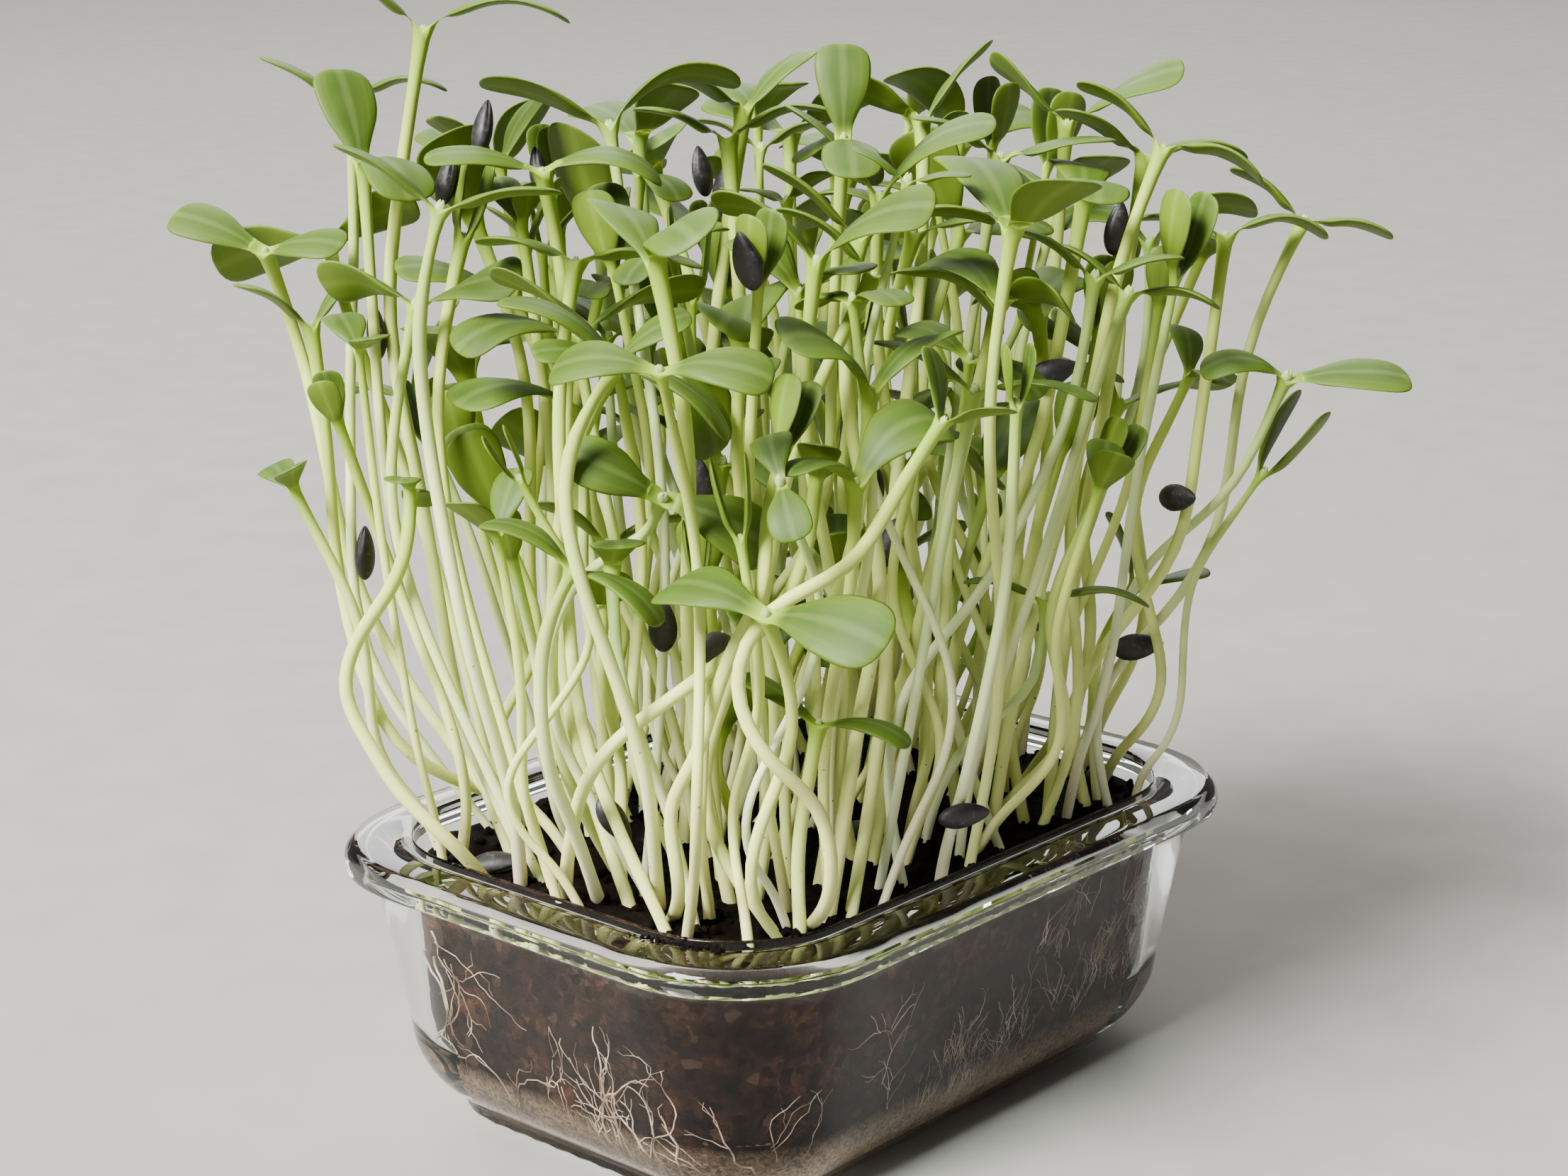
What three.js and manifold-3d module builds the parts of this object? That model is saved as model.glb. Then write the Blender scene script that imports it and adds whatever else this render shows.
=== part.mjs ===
import * as THREE from 'three';
import Module from 'manifold-3d';

// A rectangular glass food dish filled with soil, in which a crowd of
// sunflower seedlings stands. Millimetres, +Z up. The origin is the middle of
// the dish's flat underside, X runs along the dish and Y across it.

const wasm = await Module();
wasm.setup();

// Glass dish
const DISH_LENGTH = 180;
const DISH_WIDTH = 138;
const DISH_HEIGHT = 62.6;
const CORNER_RADIUS = 33;
const CORNER_TIGHTENING = 0.55;
const CORNER_STEPS = 5;
const RIM_HEIGHT = 6.3;
const RIM_OVERHANG = 5;
const RIM_WIDTH = 12.6;
const WALL = 3.6;
const WALL_DRAFT = 5.2;
const FLOOR = 6.5;
const HEEL_REACH = 18;
const HEEL_RISE = 26;
const HEEL_STEPS = 4;

// Soil and the roots that have grown down between it and the glass
const GAP = 0.3;
const SOIL_LEVEL = 56;
const SOIL_UNEVENNESS = 1;
const SOIL_SHOULDER = 2.5;
const SOIL_RINGS = [1, 0.9, 0.74, 0.56, 0.37, 0.18];
const ROOT_ROOM = 1.8;
const ROOT_THICKNESS = 0.7;
const ROOT_WIDTH = 1.3;
const ROOT_TAPER = 0.45;
const ROOT_STRANDS = 10;
const ROOT_LEVELS = [34, 42, 49];
const ROOT_DRIFT = 0.006;
const ROOT_WANDER = 0.003;

// Root plugs, one for each bunch of seedlings, in rows over the soil
const PLUG_ROWS = 6;
const PLUG_ROW_SPACING = 18;
const PLUG_SPACING = 18.4;
const PLUG_JITTER = 2.9;
const PLUG_INSET = 22.2757;
const PLUG_CORNER_ROOM = 12;
const PLUG_TOP_RADIUS = 5.5;
const PLUG_FOOT_RADIUS = 3.2;
const PLUG_DEPTH = 13;
const PLUG_RISE = 0.8;
const PLUG_SIDES = 6;
const HOLE_ROOM = 0.4;
const HOLE_OVERSHOOT = 6;
const STEM_RING_RADIUS = 2.9;
const SLOTS_TRIED = 5;

// Seedlings
const STEM_RADIUS = 1.5;
const FORK_RADIUS = 1.9;
const LEAF_THICKNESS = 1.6;
const LEAF_CAMBER = 0.3;
const LEAF_SLENDERNESS = 0.275;
const CLEARANCE = 0.5;
const HULL_LENGTH = 12;
const HULL_WIDTH = 6.2;
const HULL_THICKNESS = 4.2;

// Turn from the tray's own axes to the line along which its seedlings' routes
// are told: across, then back in depth, then up.
const ROUTE_TURN = THREE.MathUtils.degToRad(-48.4);

const GLASS = { color: '#cfd8d4', roughness: 0.05, metalness: 0 };
const SOIL = { color: '#33261f', roughness: 0.95, metalness: 0 };
const ROOTS = { color: '#d8cdb6', roughness: 0.7, metalness: 0 };
const HULL = { color: '#2b2729', roughness: 0.55, metalness: 0 };
const SEEDLING = { color: '#a6c468', roughness: 0.5, metalness: 0 };

/** Repeatable random numbers from 0 to 1. */
function randomNumbers(seed) {
  let state = seed;
  return () => {
    state = (state + 0x6d2b79f5) | 0;
    let mixed = Math.imul(state ^ (state >>> 15), 1 | state);
    mixed = (mixed + Math.imul(mixed ^ (mixed >>> 7), 61 | mixed)) ^ mixed;
    return ((mixed ^ (mixed >>> 14)) >>> 0) / 4294967296;
  };
}

const random = randomNumbers(20);
const between = (low, high) => low + (high - low) * random();

/** The two triangles of a face with corners a, b, c and d. */
function quad(a, b, c, d) {
  return [[a, b, c], [a, c, d]];
}

/** Joins loops of points, each with as many, into one closed body. */
function loft(loops) {
  const count = loops[0].length;
  const points = loops.flat();
  const faces = [];
  for (let row = 0; row + 1 < loops.length; row++) {
    const here = row * count;
    const above = here + count;
    for (let i = 0; i < count; i++) {
      const next = (i + 1) % count;
      faces.push(...quad(here + i, here + next, above + next, above + i));
    }
  }
  const lastRow = points.length - count;
  const firstMiddle = points.push(middleOf(loops[0])) - 1;
  const lastMiddle = points.push(middleOf(loops.at(-1))) - 1;
  for (let i = 0; i < count; i++) {
    const next = (i + 1) % count;
    faces.push([firstMiddle, next, i]);
    faces.push([lastMiddle, lastRow + i, lastRow + next]);
  }
  return { points, faces };
}

function middleOf(loop) {
  const middle = new THREE.Vector3();
  loop.forEach((point) => middle.add(point));
  return middle.divideScalar(loop.length);
}

/** A closed body as a solid that can be joined and cut. */
function solid({ points, faces }) {
  const vertProperties = new Float32Array(points.length * 3);
  points.forEach((point, index) => point.toArray(vertProperties, index * 3));
  const triVerts = Uint32Array.from(faces.flat());
  return new wasm.Manifold(new wasm.Mesh({ numProp: 3, vertProperties, triVerts }));
}

function fuse(bodies) {
  return bodies.map(solid).reduce((whole, body) => whole.add(body));
}

/** A named mesh from a solid. */
function piece(name, shape, finish) {
  const { vertProperties, triVerts } = shape.getMesh();
  const geometry = new THREE.BufferGeometry();
  geometry.setAttribute('position', new THREE.BufferAttribute(vertProperties, 3));
  geometry.setIndex(new THREE.BufferAttribute(triVerts, 1));
  const mesh = new THREE.Mesh(geometry, new THREE.MeshStandardMaterial(finish));
  mesh.name = name;
  return mesh;
}

/** A level loop of the dish's rounded rectangle, inset from the rim's edge. */
function dishLoop(inset, z) {
  const radius = CORNER_RADIUS - CORNER_TIGHTENING * inset;
  const cornerX = DISH_LENGTH / 2 - inset - radius;
  const cornerY = DISH_WIDTH / 2 - inset - radius;
  const loop = [];
  for (let corner = 0; corner < 4; corner++) {
    const signX = corner === 0 || corner === 3 ? 1 : -1;
    const signY = corner < 2 ? 1 : -1;
    for (let step = 0; step <= CORNER_STEPS; step++) {
      const angle = (corner + step / CORNER_STEPS) * Math.PI / 2;
      const x = signX * cornerX + radius * Math.cos(angle);
      const y = signY * cornerY + radius * Math.sin(angle);
      loop.push(new THREE.Vector3(x, y, z));
    }
  }
  return loop;
}

/** Inset and height of the rounded heel from a floor up to its wall. */
function heelProfile(wallInset, reach, floor) {
  const profile = [];
  for (let step = 0; step <= HEEL_STEPS; step++) {
    const angle = step / HEEL_STEPS * Math.PI / 2;
    const inset = wallInset + reach * (1 - Math.sin(angle));
    profile.push([inset, floor + (HEEL_RISE - floor) * (1 - Math.cos(angle))]);
  }
  return profile;
}

const OUTER_FOOT = RIM_OVERHANG + WALL_DRAFT;
const INNER_FOOT = OUTER_FOOT + WALL;
const INNER_REACH = HEEL_REACH - WALL;
const RIM_BOTTOM = DISH_HEIGHT - RIM_HEIGHT;
const INNER_WALL_TOP = DISH_HEIGHT - 3;

/** The pressed glass dish: round heel, leaning walls and a wide flat rim. */
function glassDish() {
  const rimSection = [
    [RIM_OVERHANG, RIM_BOTTOM - 0.8],
    [RIM_OVERHANG - 1.4, RIM_BOTTOM],
    [1, RIM_BOTTOM],
    [0, RIM_BOTTOM + 1],
    [0, DISH_HEIGHT - 2.4],
    [1.4, DISH_HEIGHT - 0.6],
    [3.4, DISH_HEIGHT],
    [RIM_WIDTH - 2.2, DISH_HEIGHT - 0.2],
    [RIM_WIDTH - 0.5, DISH_HEIGHT - 1.2],
    [RIM_WIDTH, INNER_WALL_TOP],
  ];
  const outside = heelProfile(OUTER_FOOT, HEEL_REACH, 0);
  const inside = heelProfile(INNER_FOOT, INNER_REACH, FLOOR).reverse();
  const section = [...outside, ...rimSection, ...inside];
  return solid(loft(section.map(([inset, z]) => dishLoop(inset, z))));
}

/** Inset of the dish's inner wall at a height above its heel. */
function innerInset(z) {
  const rise = (z - HEEL_RISE) / (INNER_WALL_TOP - HEEL_RISE);
  return INNER_FOOT + (RIM_WIDTH - INNER_FOOT) * rise;
}

/** Height of the gently uneven soil. */
function soilHeight(x, y) {
  const broad = Math.sin(x / 19 + 1.3) * Math.cos(y / 17 - 0.4);
  const slant = Math.sin((x + y) / 24);
  return SOIL_LEVEL + SOIL_UNEVENNESS * (0.7 * broad + 0.5 * slant);
}

/** Soil pressed into the dish, with a plain hole for every root plug. */
function soilBlock(plugs) {
  const edge = SOIL_LEVEL - SOIL_SHOULDER;
  const profile = heelProfile(INNER_FOOT + ROOT_ROOM, INNER_REACH - ROOT_ROOM, FLOOR + GAP);
  profile.push([innerInset(edge) + ROOT_ROOM, edge]);
  const loops = profile.map(([inset, z]) => dishLoop(inset, z));
  const outline = dishLoop(innerInset(SOIL_LEVEL) + ROOT_ROOM + 2 * GAP, SOIL_LEVEL);
  for (const share of SOIL_RINGS) {
    loops.push(outline.map((point) => {
      const x = point.x * share;
      const y = point.y * share;
      return new THREE.Vector3(x, y, soilHeight(x, y));
    }));
  }
  let block = solid(loft(loops));
  for (const plug of plugs) {
    block = block.subtract(solid(loft(plugLoops(plug, HOLE_ROOM, HOLE_OVERSHOOT))));
  }
  return block;
}

/** The tapered plug of roots and soil that a bunch grows from. */
function plugLoops(plug, extraRadius, extraHeight) {
  const ring = (radius, z) => {
    const loop = [];
    for (let side = 0; side < PLUG_SIDES; side++) {
      const angle = plug.turn + side / PLUG_SIDES * 2 * Math.PI;
      const x = plug.x + radius * Math.cos(angle);
      const y = plug.y + radius * Math.sin(angle);
      loop.push(new THREE.Vector3(x, y, z));
    }
    return loop;
  };
  const foot = plug.top - PLUG_DEPTH - extraRadius;
  return [
    ring(PLUG_FOOT_RADIUS + extraRadius, foot),
    ring(PLUG_TOP_RADIUS + extraRadius, plug.top),
    ring(PLUG_TOP_RADIUS + extraRadius, plug.top + extraHeight),
  ];
}

/** Plug places in staggered rows, a little out of line, clear of the glass. */
function plugPlaces() {
  const places = [];
  const roomX = DISH_LENGTH / 2 - PLUG_INSET;
  const roomY = DISH_WIDTH / 2 - PLUG_INSET;
  for (let row = 0; row < PLUG_ROWS; row++) {
    const rowY = (row - (PLUG_ROWS - 1) / 2) * PLUG_ROW_SPACING;
    const columns = row % 2 ? 8 : 7;
    for (let column = 0; column < columns; column++) {
      const rowX = (column - (columns - 1) / 2) * PLUG_SPACING;
      const x = THREE.MathUtils.clamp(rowX + between(-PLUG_JITTER, PLUG_JITTER), -roomX, roomX);
      const y = THREE.MathUtils.clamp(rowY + between(-PLUG_JITTER, PLUG_JITTER), -roomY, roomY);
      const cornerX = Math.max(0, Math.abs(x) - (roomX - PLUG_CORNER_ROOM));
      const cornerY = Math.max(0, Math.abs(y) - (roomY - PLUG_CORNER_ROOM));
      const inCorner = Math.hypot(cornerX, cornerY) > PLUG_CORNER_ROOM;
      if (!inCorner) {
        places.push({ x, y, turn: between(0, 1), top: soilHeight(x, y) + PLUG_RISE });
      }
    }
  }
  return places;
}

// Seedlings told one by one: where the stem stands, the points it bends
// through and its fork, all in across, depth and height; then the way its
// first leaf points, in degrees from across; how far each leaf leans out from
// the stem at its root and at its tip, first leaf then second; and the two
// leaves' lengths. A seedling whose leaves are still in the seed hull is capped.
const TOLD_SEEDLINGS = [
  { route: [[-63, -17], [-74, -14, 96], [-78, -10, 130], [-85, -7, 166], [-82, -3, 205], [-77, 0, 233]],
    points: 5, lean: [35, 118, 45, 95], leaves: [33, 26] },
  { route: [[-75, -8], [-93, -3, 98], [-96, 1, 143], [-94, 6, 187], [-94, 10, 217]],
    points: 0, lean: [40, 125, 50, 72], leaves: [22, 21] },
  { route: [[-71, -24], [-81, -20, 114], [-87, -17, 159], [-88, -13, 189], [-89, -10, 206]],
    points: -60, lean: [70, 150, 15, 35], leaves: [26, 24] },
  { route: [[-59, -13], [-74, -9, 98], [-85, -6, 145], [-93, -3, 170], [-97, 0, 186]],
    points: 180, lean: [40, 105, 45, 120], leaves: [27, 22] },
  { route: [[-81, -12], [-96, -7, 103], [-101, -1, 142], [-107, 4, 172], [-110, 10, 188]],
    points: 175, lean: [50, 85, 60, 100], leaves: [22, 20] },
  { route: [[-75, -12], [-89, -12, 86], [-98, -11, 124], [-99, -11, 155], [-99, -10, 172]],
    points: 200, lean: [25, 75, 25, 75], leaves: [19, 18] },
  { route: [[-75, -8], [-93, -6, 103], [-98, -4, 128], [-101, -2, 142], [-104, 0, 149]],
    points: 180, lean: [70, 165, 60, 120], leaves: [26, 20] },
  { route: [[-83, 2], [-99, 0, 82], [-102, -1, 94], [-95, -2, 105], [-89, -4, 120], [-85, -5, 144]],
    points: 30, lean: [50, 110, 50, 110], leaves: [22, 22] },
  { route: [[-51, -43], [-62, -37, 97], [-72, -32, 141], [-72, -26, 173], [-68, -20, 192]],
    points: 200, leaves: [18, 18], capped: true },
  { route: [[-54, -39], [-70, -37, 97], [-82, -34, 133], [-81, -32, 162], [-77, -30, 180]],
    points: -20, lean: [50, 75, 60, 120], leaves: [24, 22], roll: 55 },
  { route: [[-32, -55], [-45, -47, 100], [-48, -38, 143], [-47, -29, 185], [-51, -20, 208]],
    points: 175, lean: [50, 95, 60, 150], leaves: [24, 26] },
  { route: [[-37, -51], [-29, -41, 101], [-25, -31, 144], [-31, -20, 182], [-39, -10, 212]],
    points: 5, lean: [25, 130, 40, 82], leaves: [33, 29] },
  { route: [[-28, -60], [-42, -56, 95], [-46, -52, 137], [-46, -49, 171], [-43, -45, 191]],
    points: -25, lean: [60, 110, 60, 110], leaves: [27, 22] },
  { route: [[-52, -43], [-48, -47, 92], [-45, -51, 137], [-40, -56, 163], [-32, -60, 174]],
    points: 190, lean: [60, 100, 70, 150], leaves: [31, 28], roll: 35 },
  { route: [[-48, -47], [-51, -51, 101], [-45, -55, 128], [-32, -58, 135], [-26, -62, 149]],
    points: -10, lean: [70, 130, 60, 100], leaves: [24, 20] },
  { route: [[-25, -60], [-41, -57, 75], [-53, -54, 109], [-55, -51, 135], [-49, -48, 151]],
    points: 180, lean: [60, 92, 50, 110], leaves: [23, 21] },
  { route: [[-38, -55], [-43, -55, 84], [-47, -55, 108], [-47, -55, 127]],
    points: 215, lean: [60, 150, 60, 150], leaves: [18, 18], roll: 30 },
  { route: [[-11, 10], [-17, 3, 90], [5, -5, 125], [9, -12, 173], [11, -20, 212]],
    points: 95, lean: [15, 50, 60, 120], leaves: [21, 22] },
  { route: [[15, -52], [19, -34, 95], [22, -16, 137], [28, 2, 180], [29, 20, 211]],
    points: 20, lean: [20, 50, 45, 110], leaves: [26, 24] },
  { route: [[4, -64], [14, -55, 102], [18, -47, 130], [11, -38, 163], [14, -30, 193]],
    points: 0, lean: [40, 110, 40, 75], leaves: [29, 25] },
  { route: [[-7, -68], [-19, -61, 86], [-8, -54, 117], [1, -47, 156], [16, -40, 187]],
    points: 0, lean: [35, 138, 50, 110], leaves: [32, 24] },
  { route: [[49, -10], [50, -5, 94], [64, 0, 149], [73, 5, 190], [80, 10, 206]],
    points: -10, lean: [50, 130, 40, 100], leaves: [24, 24] },
  { route: [[65, 9], [64, 9, 88], [84, 9, 114], [91, 10, 159], [95, 10, 187]],
    points: 0, lean: [35, 130, 60, 110], leaves: [24, 20] },
  { route: [[72, 18], [70, 19, 78], [94, 19, 115], [103, 20, 163], [112, 20, 187]],
    points: 0, lean: [50, 100, 50, 100], leaves: [20, 20] },
  { route: [[69, 14], [64, 13, 77], [83, 12, 105], [101, 11, 133], [106, 10, 155]],
    points: 0, lean: [60, 85, 55, 150], leaves: [27, 20] },
  { route: [[27, -36], [21, -32, 91], [42, -28, 123], [58, -24, 157], [63, -20, 183]],
    points: 5, lean: [45, 85, 45, 85], leaves: [19, 19] },
  { route: [[35, -27], [39, -23, 79], [53, -19, 122], [64, -14, 158], [71, -10, 178]],
    points: -20, lean: [50, 110, 50, 90], leaves: [20, 18] },
  { route: [[-1, -66], [1, -65, 75], [5, -65, 101]],
    points: -15, lean: [60, 118, 55, 84], leaves: [19, 18] },
  { route: [[28, -23], [36, -19, 81], [51, -14, 92], [55, -10, 111]],
    points: 0, lean: [50, 118, 60, 110], leaves: [23, 18] },
  { route: [[-19, -13], [-21, -2, 102], [-18, 9, 155], [-10, 20, 213]],
    points: 30, lean: [20, 60, 50, 110], leaves: [22, 22] },
  { route: [[-3, -13], [-6, -6, 103], [-10, 2, 164], [-13, 10, 208]],
    points: 170, lean: [40, 90, 40, 120], leaves: [22, 26] },
  { route: [[44, -14], [33, -3, 102], [37, 9, 155], [44, 20, 203]],
    points: 0, lean: [55, 85, 45, 100], leaves: [26, 22] },
  { route: [[58, -1], [61, 10, 98], [70, 20, 151], [78, 30, 201]],
    points: 10, lean: [40, 120, 50, 90], leaves: [25, 23] },
  { route: [[19, -48], [25, -45, 99], [31, -43, 134], [37, -40, 163]],
    points: -20, lean: [50, 110, 50, 100], leaves: [26, 24] },
  { route: [[-17, -67], [-27, -67, 83], [-35, -66, 112], [-38, -64, 132]],
    points: -70, lean: [60, 130, 60, 120], leaves: [20, 20] },
];

// How far closed leaves lean out at root and tip while the hull holds them.
const CAPPED_LEAN = [16, -4, 16, -4];

/** A told point, turned into the tray's own axes. */
function fromRoute([across, depth, height]) {
  const x = across * Math.cos(ROUTE_TURN) - depth * Math.sin(ROUTE_TURN);
  const y = across * Math.sin(ROUTE_TURN) + depth * Math.cos(ROUTE_TURN);
  return new THREE.Vector3(x, y, height);
}

/** Places for stems round the middle of each plug. */
function stemSlots(plugs) {
  const slots = [];
  plugs.forEach((plug, index) => {
    const count = index % 5 < 2 ? 3 : 2;
    for (let place = 0; place < count; place++) {
      const angle = plug.turn * 6 + place / count * 2 * Math.PI;
      const x = plug.x + STEM_RING_RADIUS * Math.cos(angle);
      const y = plug.y + STEM_RING_RADIUS * Math.sin(angle);
      slots.push({ x, y, plug: index, top: plug.top });
    }
  });
  return slots;
}

/** The few free slots nearest to a place, the nearest first. */
function nearestSlots(slots, place) {
  const away = (slot) => Math.hypot(slot.x - place.x, slot.y - place.y);
  return [...slots].sort((one, other) => away(one) - away(other)).slice(0, SLOTS_TRIED);
}

/** The stem's joints, from the top of its plug up to the fork. */
function stemJoints(slot, bends, segments) {
  const start = new THREE.Vector3(slot.x, slot.y, slot.top);
  const curve = new THREE.CatmullRomCurve3([start, ...bends], false, 'centripetal');
  return curve.getSpacedPoints(segments);
}

/** Everything that shapes one seedling, worked out from its plan. */
function shapeSeedling(plan) {
  const joints = stemJoints(plan.slot, plan.bends, plan.segments);
  const last = joints.length - 1;
  const rise = joints[last].clone().sub(joints[last - 1]).normalize();
  const out = new THREE.Vector3(Math.cos(plan.points), Math.sin(plan.points), 0);
  out.addScaledVector(rise, -out.dot(rise)).normalize();
  const leaves = [0, 1].map((index) => {
    const way = out.clone().multiplyScalar(index === 0 ? 1 : -1);
    const side = rise.clone().cross(way);
    const [root, tip] = plan.lean.slice(2 * index, 2 * index + 2).map(THREE.MathUtils.degToRad);
    return { from: joints[last], rise, way, side, root, tip, length: plan.leaves[index], roll: plan.roll };
  });
  return { joints, rise, out, leaves, capped: plan.capped };
}

/** Middle, heading and cross directions of a leaf at a share of its length. */
function leafStation(leaf, share) {
  const turn = (leaf.tip - leaf.root) || 1e-6;
  const lean = leaf.root + turn * share;
  const along = (Math.sin(lean) - Math.sin(leaf.root)) / turn * leaf.length;
  const outward = (Math.cos(leaf.root) - Math.cos(lean)) / turn * leaf.length;
  const middle = leaf.from.clone()
    .addScaledVector(leaf.rise, along + FORK_RADIUS * 0.3)
    .addScaledVector(leaf.way, outward + FORK_RADIUS * 0.5);
  const upper = leaf.rise.clone().multiplyScalar(Math.sin(lean))
    .addScaledVector(leaf.way, -Math.cos(lean));
  const roll = leaf.roll * share;
  const side = leaf.side.clone().multiplyScalar(Math.cos(roll)).addScaledVector(upper, Math.sin(roll));
  upper.multiplyScalar(Math.cos(roll)).addScaledVector(leaf.side, -Math.sin(roll));
  return { middle, side, upper };
}

// Share of the leaf's length, share of its half width, and of its thickness:
// the stalk, the widening blade, its widest place and the round end.
const LEAF_RINGS = [[0.2, 0.26, 1.1], [0.45, 0.84, 1], [0.69, 1, 0.95], [0.9, 0.66, 0.75]];

/** A seedling, open at its foot: a square stem that forks into two leaves. */
function seedlingBody({ joints, rise, out, leaves }) {
  const last = joints.length - 1;
  const rings = [];
  let sideways = out.clone();
  for (let index = last; index >= 0; index--) {
    const above = joints[Math.min(index + 1, last)];
    const below = joints[Math.max(index - 1, 0)];
    const heading = index === 0 ? new THREE.Vector3(0, 0, 1) : above.clone().sub(below).normalize();
    sideways.addScaledVector(heading, -sideways.dot(heading)).normalize();
    const across = heading.clone().cross(sideways);
    const radius = index === last ? FORK_RADIUS : STEM_RADIUS;
    rings[index] = [sideways, across, sideways.clone().negate(), across.clone().negate()]
      .map((direction) => joints[index].clone().addScaledVector(direction, radius));
    sideways = sideways.clone();
  }
  const points = rings.flat();
  const faces = [];
  const addBand = (from, to) => {
    for (let i = 0; i < 4; i++) {
      const next = (i + 1) % 4;
      faces.push(...quad(from[i], from[next], to[next], to[i]));
    }
  };
  const ringAt = (index) => [0, 1, 2, 3].map((corner) => 4 * index + corner);
  for (let index = 0; index < last; index++) {
    addBand(ringAt(index), ringAt(index + 1));
  }
  const saddle = points.push(joints[last].clone().addScaledVector(rise, FORK_RADIUS * 0.5)) - 1;
  const [right, front, left, back] = ringAt(last);
  const roots = [[right, front, saddle, back], [left, back, saddle, front]];
  leaves.forEach((leaf, index) => {
    let ring = roots[index];
    for (const [share, wide, thick] of LEAF_RINGS) {
      const { middle, side, upper } = leafStation(leaf, share);
      const halfWidth = leaf.length * LEAF_SLENDERNESS * wide;
      const half = LEAF_THICKNESS / 2 * thick;
      const nextRing = [
        points.push(middle.clone().addScaledVector(upper, LEAF_CAMBER * wide - half)) - 1,
        points.push(middle.clone().addScaledVector(side, halfWidth)) - 1,
        points.push(middle.clone().addScaledVector(upper, LEAF_CAMBER * wide + half)) - 1,
        points.push(middle.clone().addScaledVector(side, -halfWidth)) - 1,
      ];
      addBand(ring, nextRing);
      ring = nextRing;
    }
    const tip = points.push(leafStation(leaf, 1).middle) - 1;
    for (let i = 0; i < 4; i++) {
      faces.push([ring[i], ring[(i + 1) % 4], tip]);
    }
  });
  return { points, faces };
}

/** A bunch as one closed body: a root plug with its seedlings standing on it. */
function bunchBody(plug, seedlings) {
  const [foot, top] = plugLoops(plug, 0, 0);
  const points = [...foot, ...top];
  const faces = [];
  for (let i = 0; i < PLUG_SIDES; i++) {
    const next = (i + 1) % PLUG_SIDES;
    faces.push(...quad(i, next, PLUG_SIDES + next, PLUG_SIDES + i));
  }
  for (let i = 1; i + 1 < PLUG_SIDES; i++) {
    faces.push([0, i + 1, i]);
  }
  const topCorners = top.map((_, index) => PLUG_SIDES + index);
  const stemFeet = seedlings.map((seedling) => {
    const body = seedlingBody(seedling);
    const offset = points.length;
    points.push(...body.points);
    faces.push(...body.faces.map((face) => face.map((index) => index + offset)));
    return [3, 2, 1, 0].map((corner) => corner + offset);
  });
  const flat = (corners) => corners.map((index) => new THREE.Vector2(points[index].x, points[index].y));
  const corners = [...topCorners, ...stemFeet.flat()];
  const topFaces = THREE.ShapeUtils.triangulateShape(flat(topCorners), stemFeet.map(flat));
  faces.push(...topFaces.map((face) => face.map((index) => corners[index])));
  return { points, faces };
}

// Room that a seedling's parts take up, and where on a leaf it is tested
const STEM_REACH = STEM_RADIUS + 0.1;
const STEM_TEST_SPACING = 3;
const LEAF_REACH = 1.3;
const LEAF_TEST_START = 0.15;
const LEAF_TEST_STEP = 0.11;
const LEAF_TEST_PLACES = [-0.9, -0.45, 0, 0.45, 0.9];
const HULL_TEST_START = 0.1;
const HULL_TEST_STEP = 0.2;

/** Points spread over a seedling, each with the room that it takes up. */
function feelersOf({ joints, leaves, capped, rise }) {
  const feelers = [];
  for (let index = 0; index + 1 < joints.length; index++) {
    const [from, to] = [joints[index], joints[index + 1]];
    const steps = Math.ceil(from.distanceTo(to) / STEM_TEST_SPACING);
    for (let step = 0; step < steps; step++) {
      feelers.push([from.clone().lerp(to, step / steps), STEM_REACH]);
    }
  }
  for (const leaf of leaves) {
    for (let share = LEAF_TEST_START; share <= 1.01; share += LEAF_TEST_STEP) {
      const { middle, side } = leafStation(leaf, share);
      const halfWidth = leaf.length * LEAF_SLENDERNESS * Math.sqrt(Math.max(0, Math.sin(share * 3)));
      for (const place of LEAF_TEST_PLACES) {
        feelers.push([middle.clone().addScaledVector(side, place * halfWidth), LEAF_REACH]);
      }
    }
  }
  if (capped) {
    const foot = capFoot(leaves, rise);
    for (let share = HULL_TEST_START; share < 1; share += HULL_TEST_STEP) {
      feelers.push([foot.clone().addScaledVector(rise, share * HULL_LENGTH), HULL_WIDTH / 2]);
    }
  }
  return feelers;
}

/** Where the hull of a capped seedling starts, just past its leaf tips. */
function capFoot(leaves, rise) {
  const tips = leaves.map((leaf) => leafStation(leaf, 1).middle);
  return tips[0].clone().lerp(tips[1], 0.5).addScaledVector(rise, GAP);
}

const CELL = 6;
const occupied = new Map();
const cellKey = (x, y, z) => `${x},${y},${z}`;

function eachCellNear(point, visit) {
  const [x, y, z] = point.toArray().map((value) => Math.floor(value / CELL));
  for (const dx of [-1, 0, 1]) {
    for (const dy of [-1, 0, 1]) {
      for (const dz of [-1, 0, 1]) {
        visit(occupied.get(cellKey(x + dx, y + dy, z + dz)) ?? []);
      }
    }
  }
}

function occupy(feelers) {
  for (const feeler of feelers) {
    const [x, y, z] = feeler[0].toArray().map((value) => Math.floor(value / CELL));
    const key = cellKey(x, y, z);
    occupied.set(key, [...(occupied.get(key) ?? []), feeler]);
  }
}

/** How far inside the rim's inner edge a point lies, below 0 over the rim. */
function roomInsideRim(point) {
  const radius = CORNER_RADIUS - CORNER_TIGHTENING * RIM_WIDTH;
  const pastX = Math.abs(point.x) - (DISH_LENGTH / 2 - RIM_WIDTH - radius);
  const pastY = Math.abs(point.y) - (DISH_WIDTH / 2 - RIM_WIDTH - radius);
  return radius - Math.hypot(Math.max(0, pastX), Math.max(0, pastY));
}

// A seedling is close to the soil only this near its own slot
const FOOT_ROOM = 2.6;
const SOIL_CLEARANCE = 1;

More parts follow.
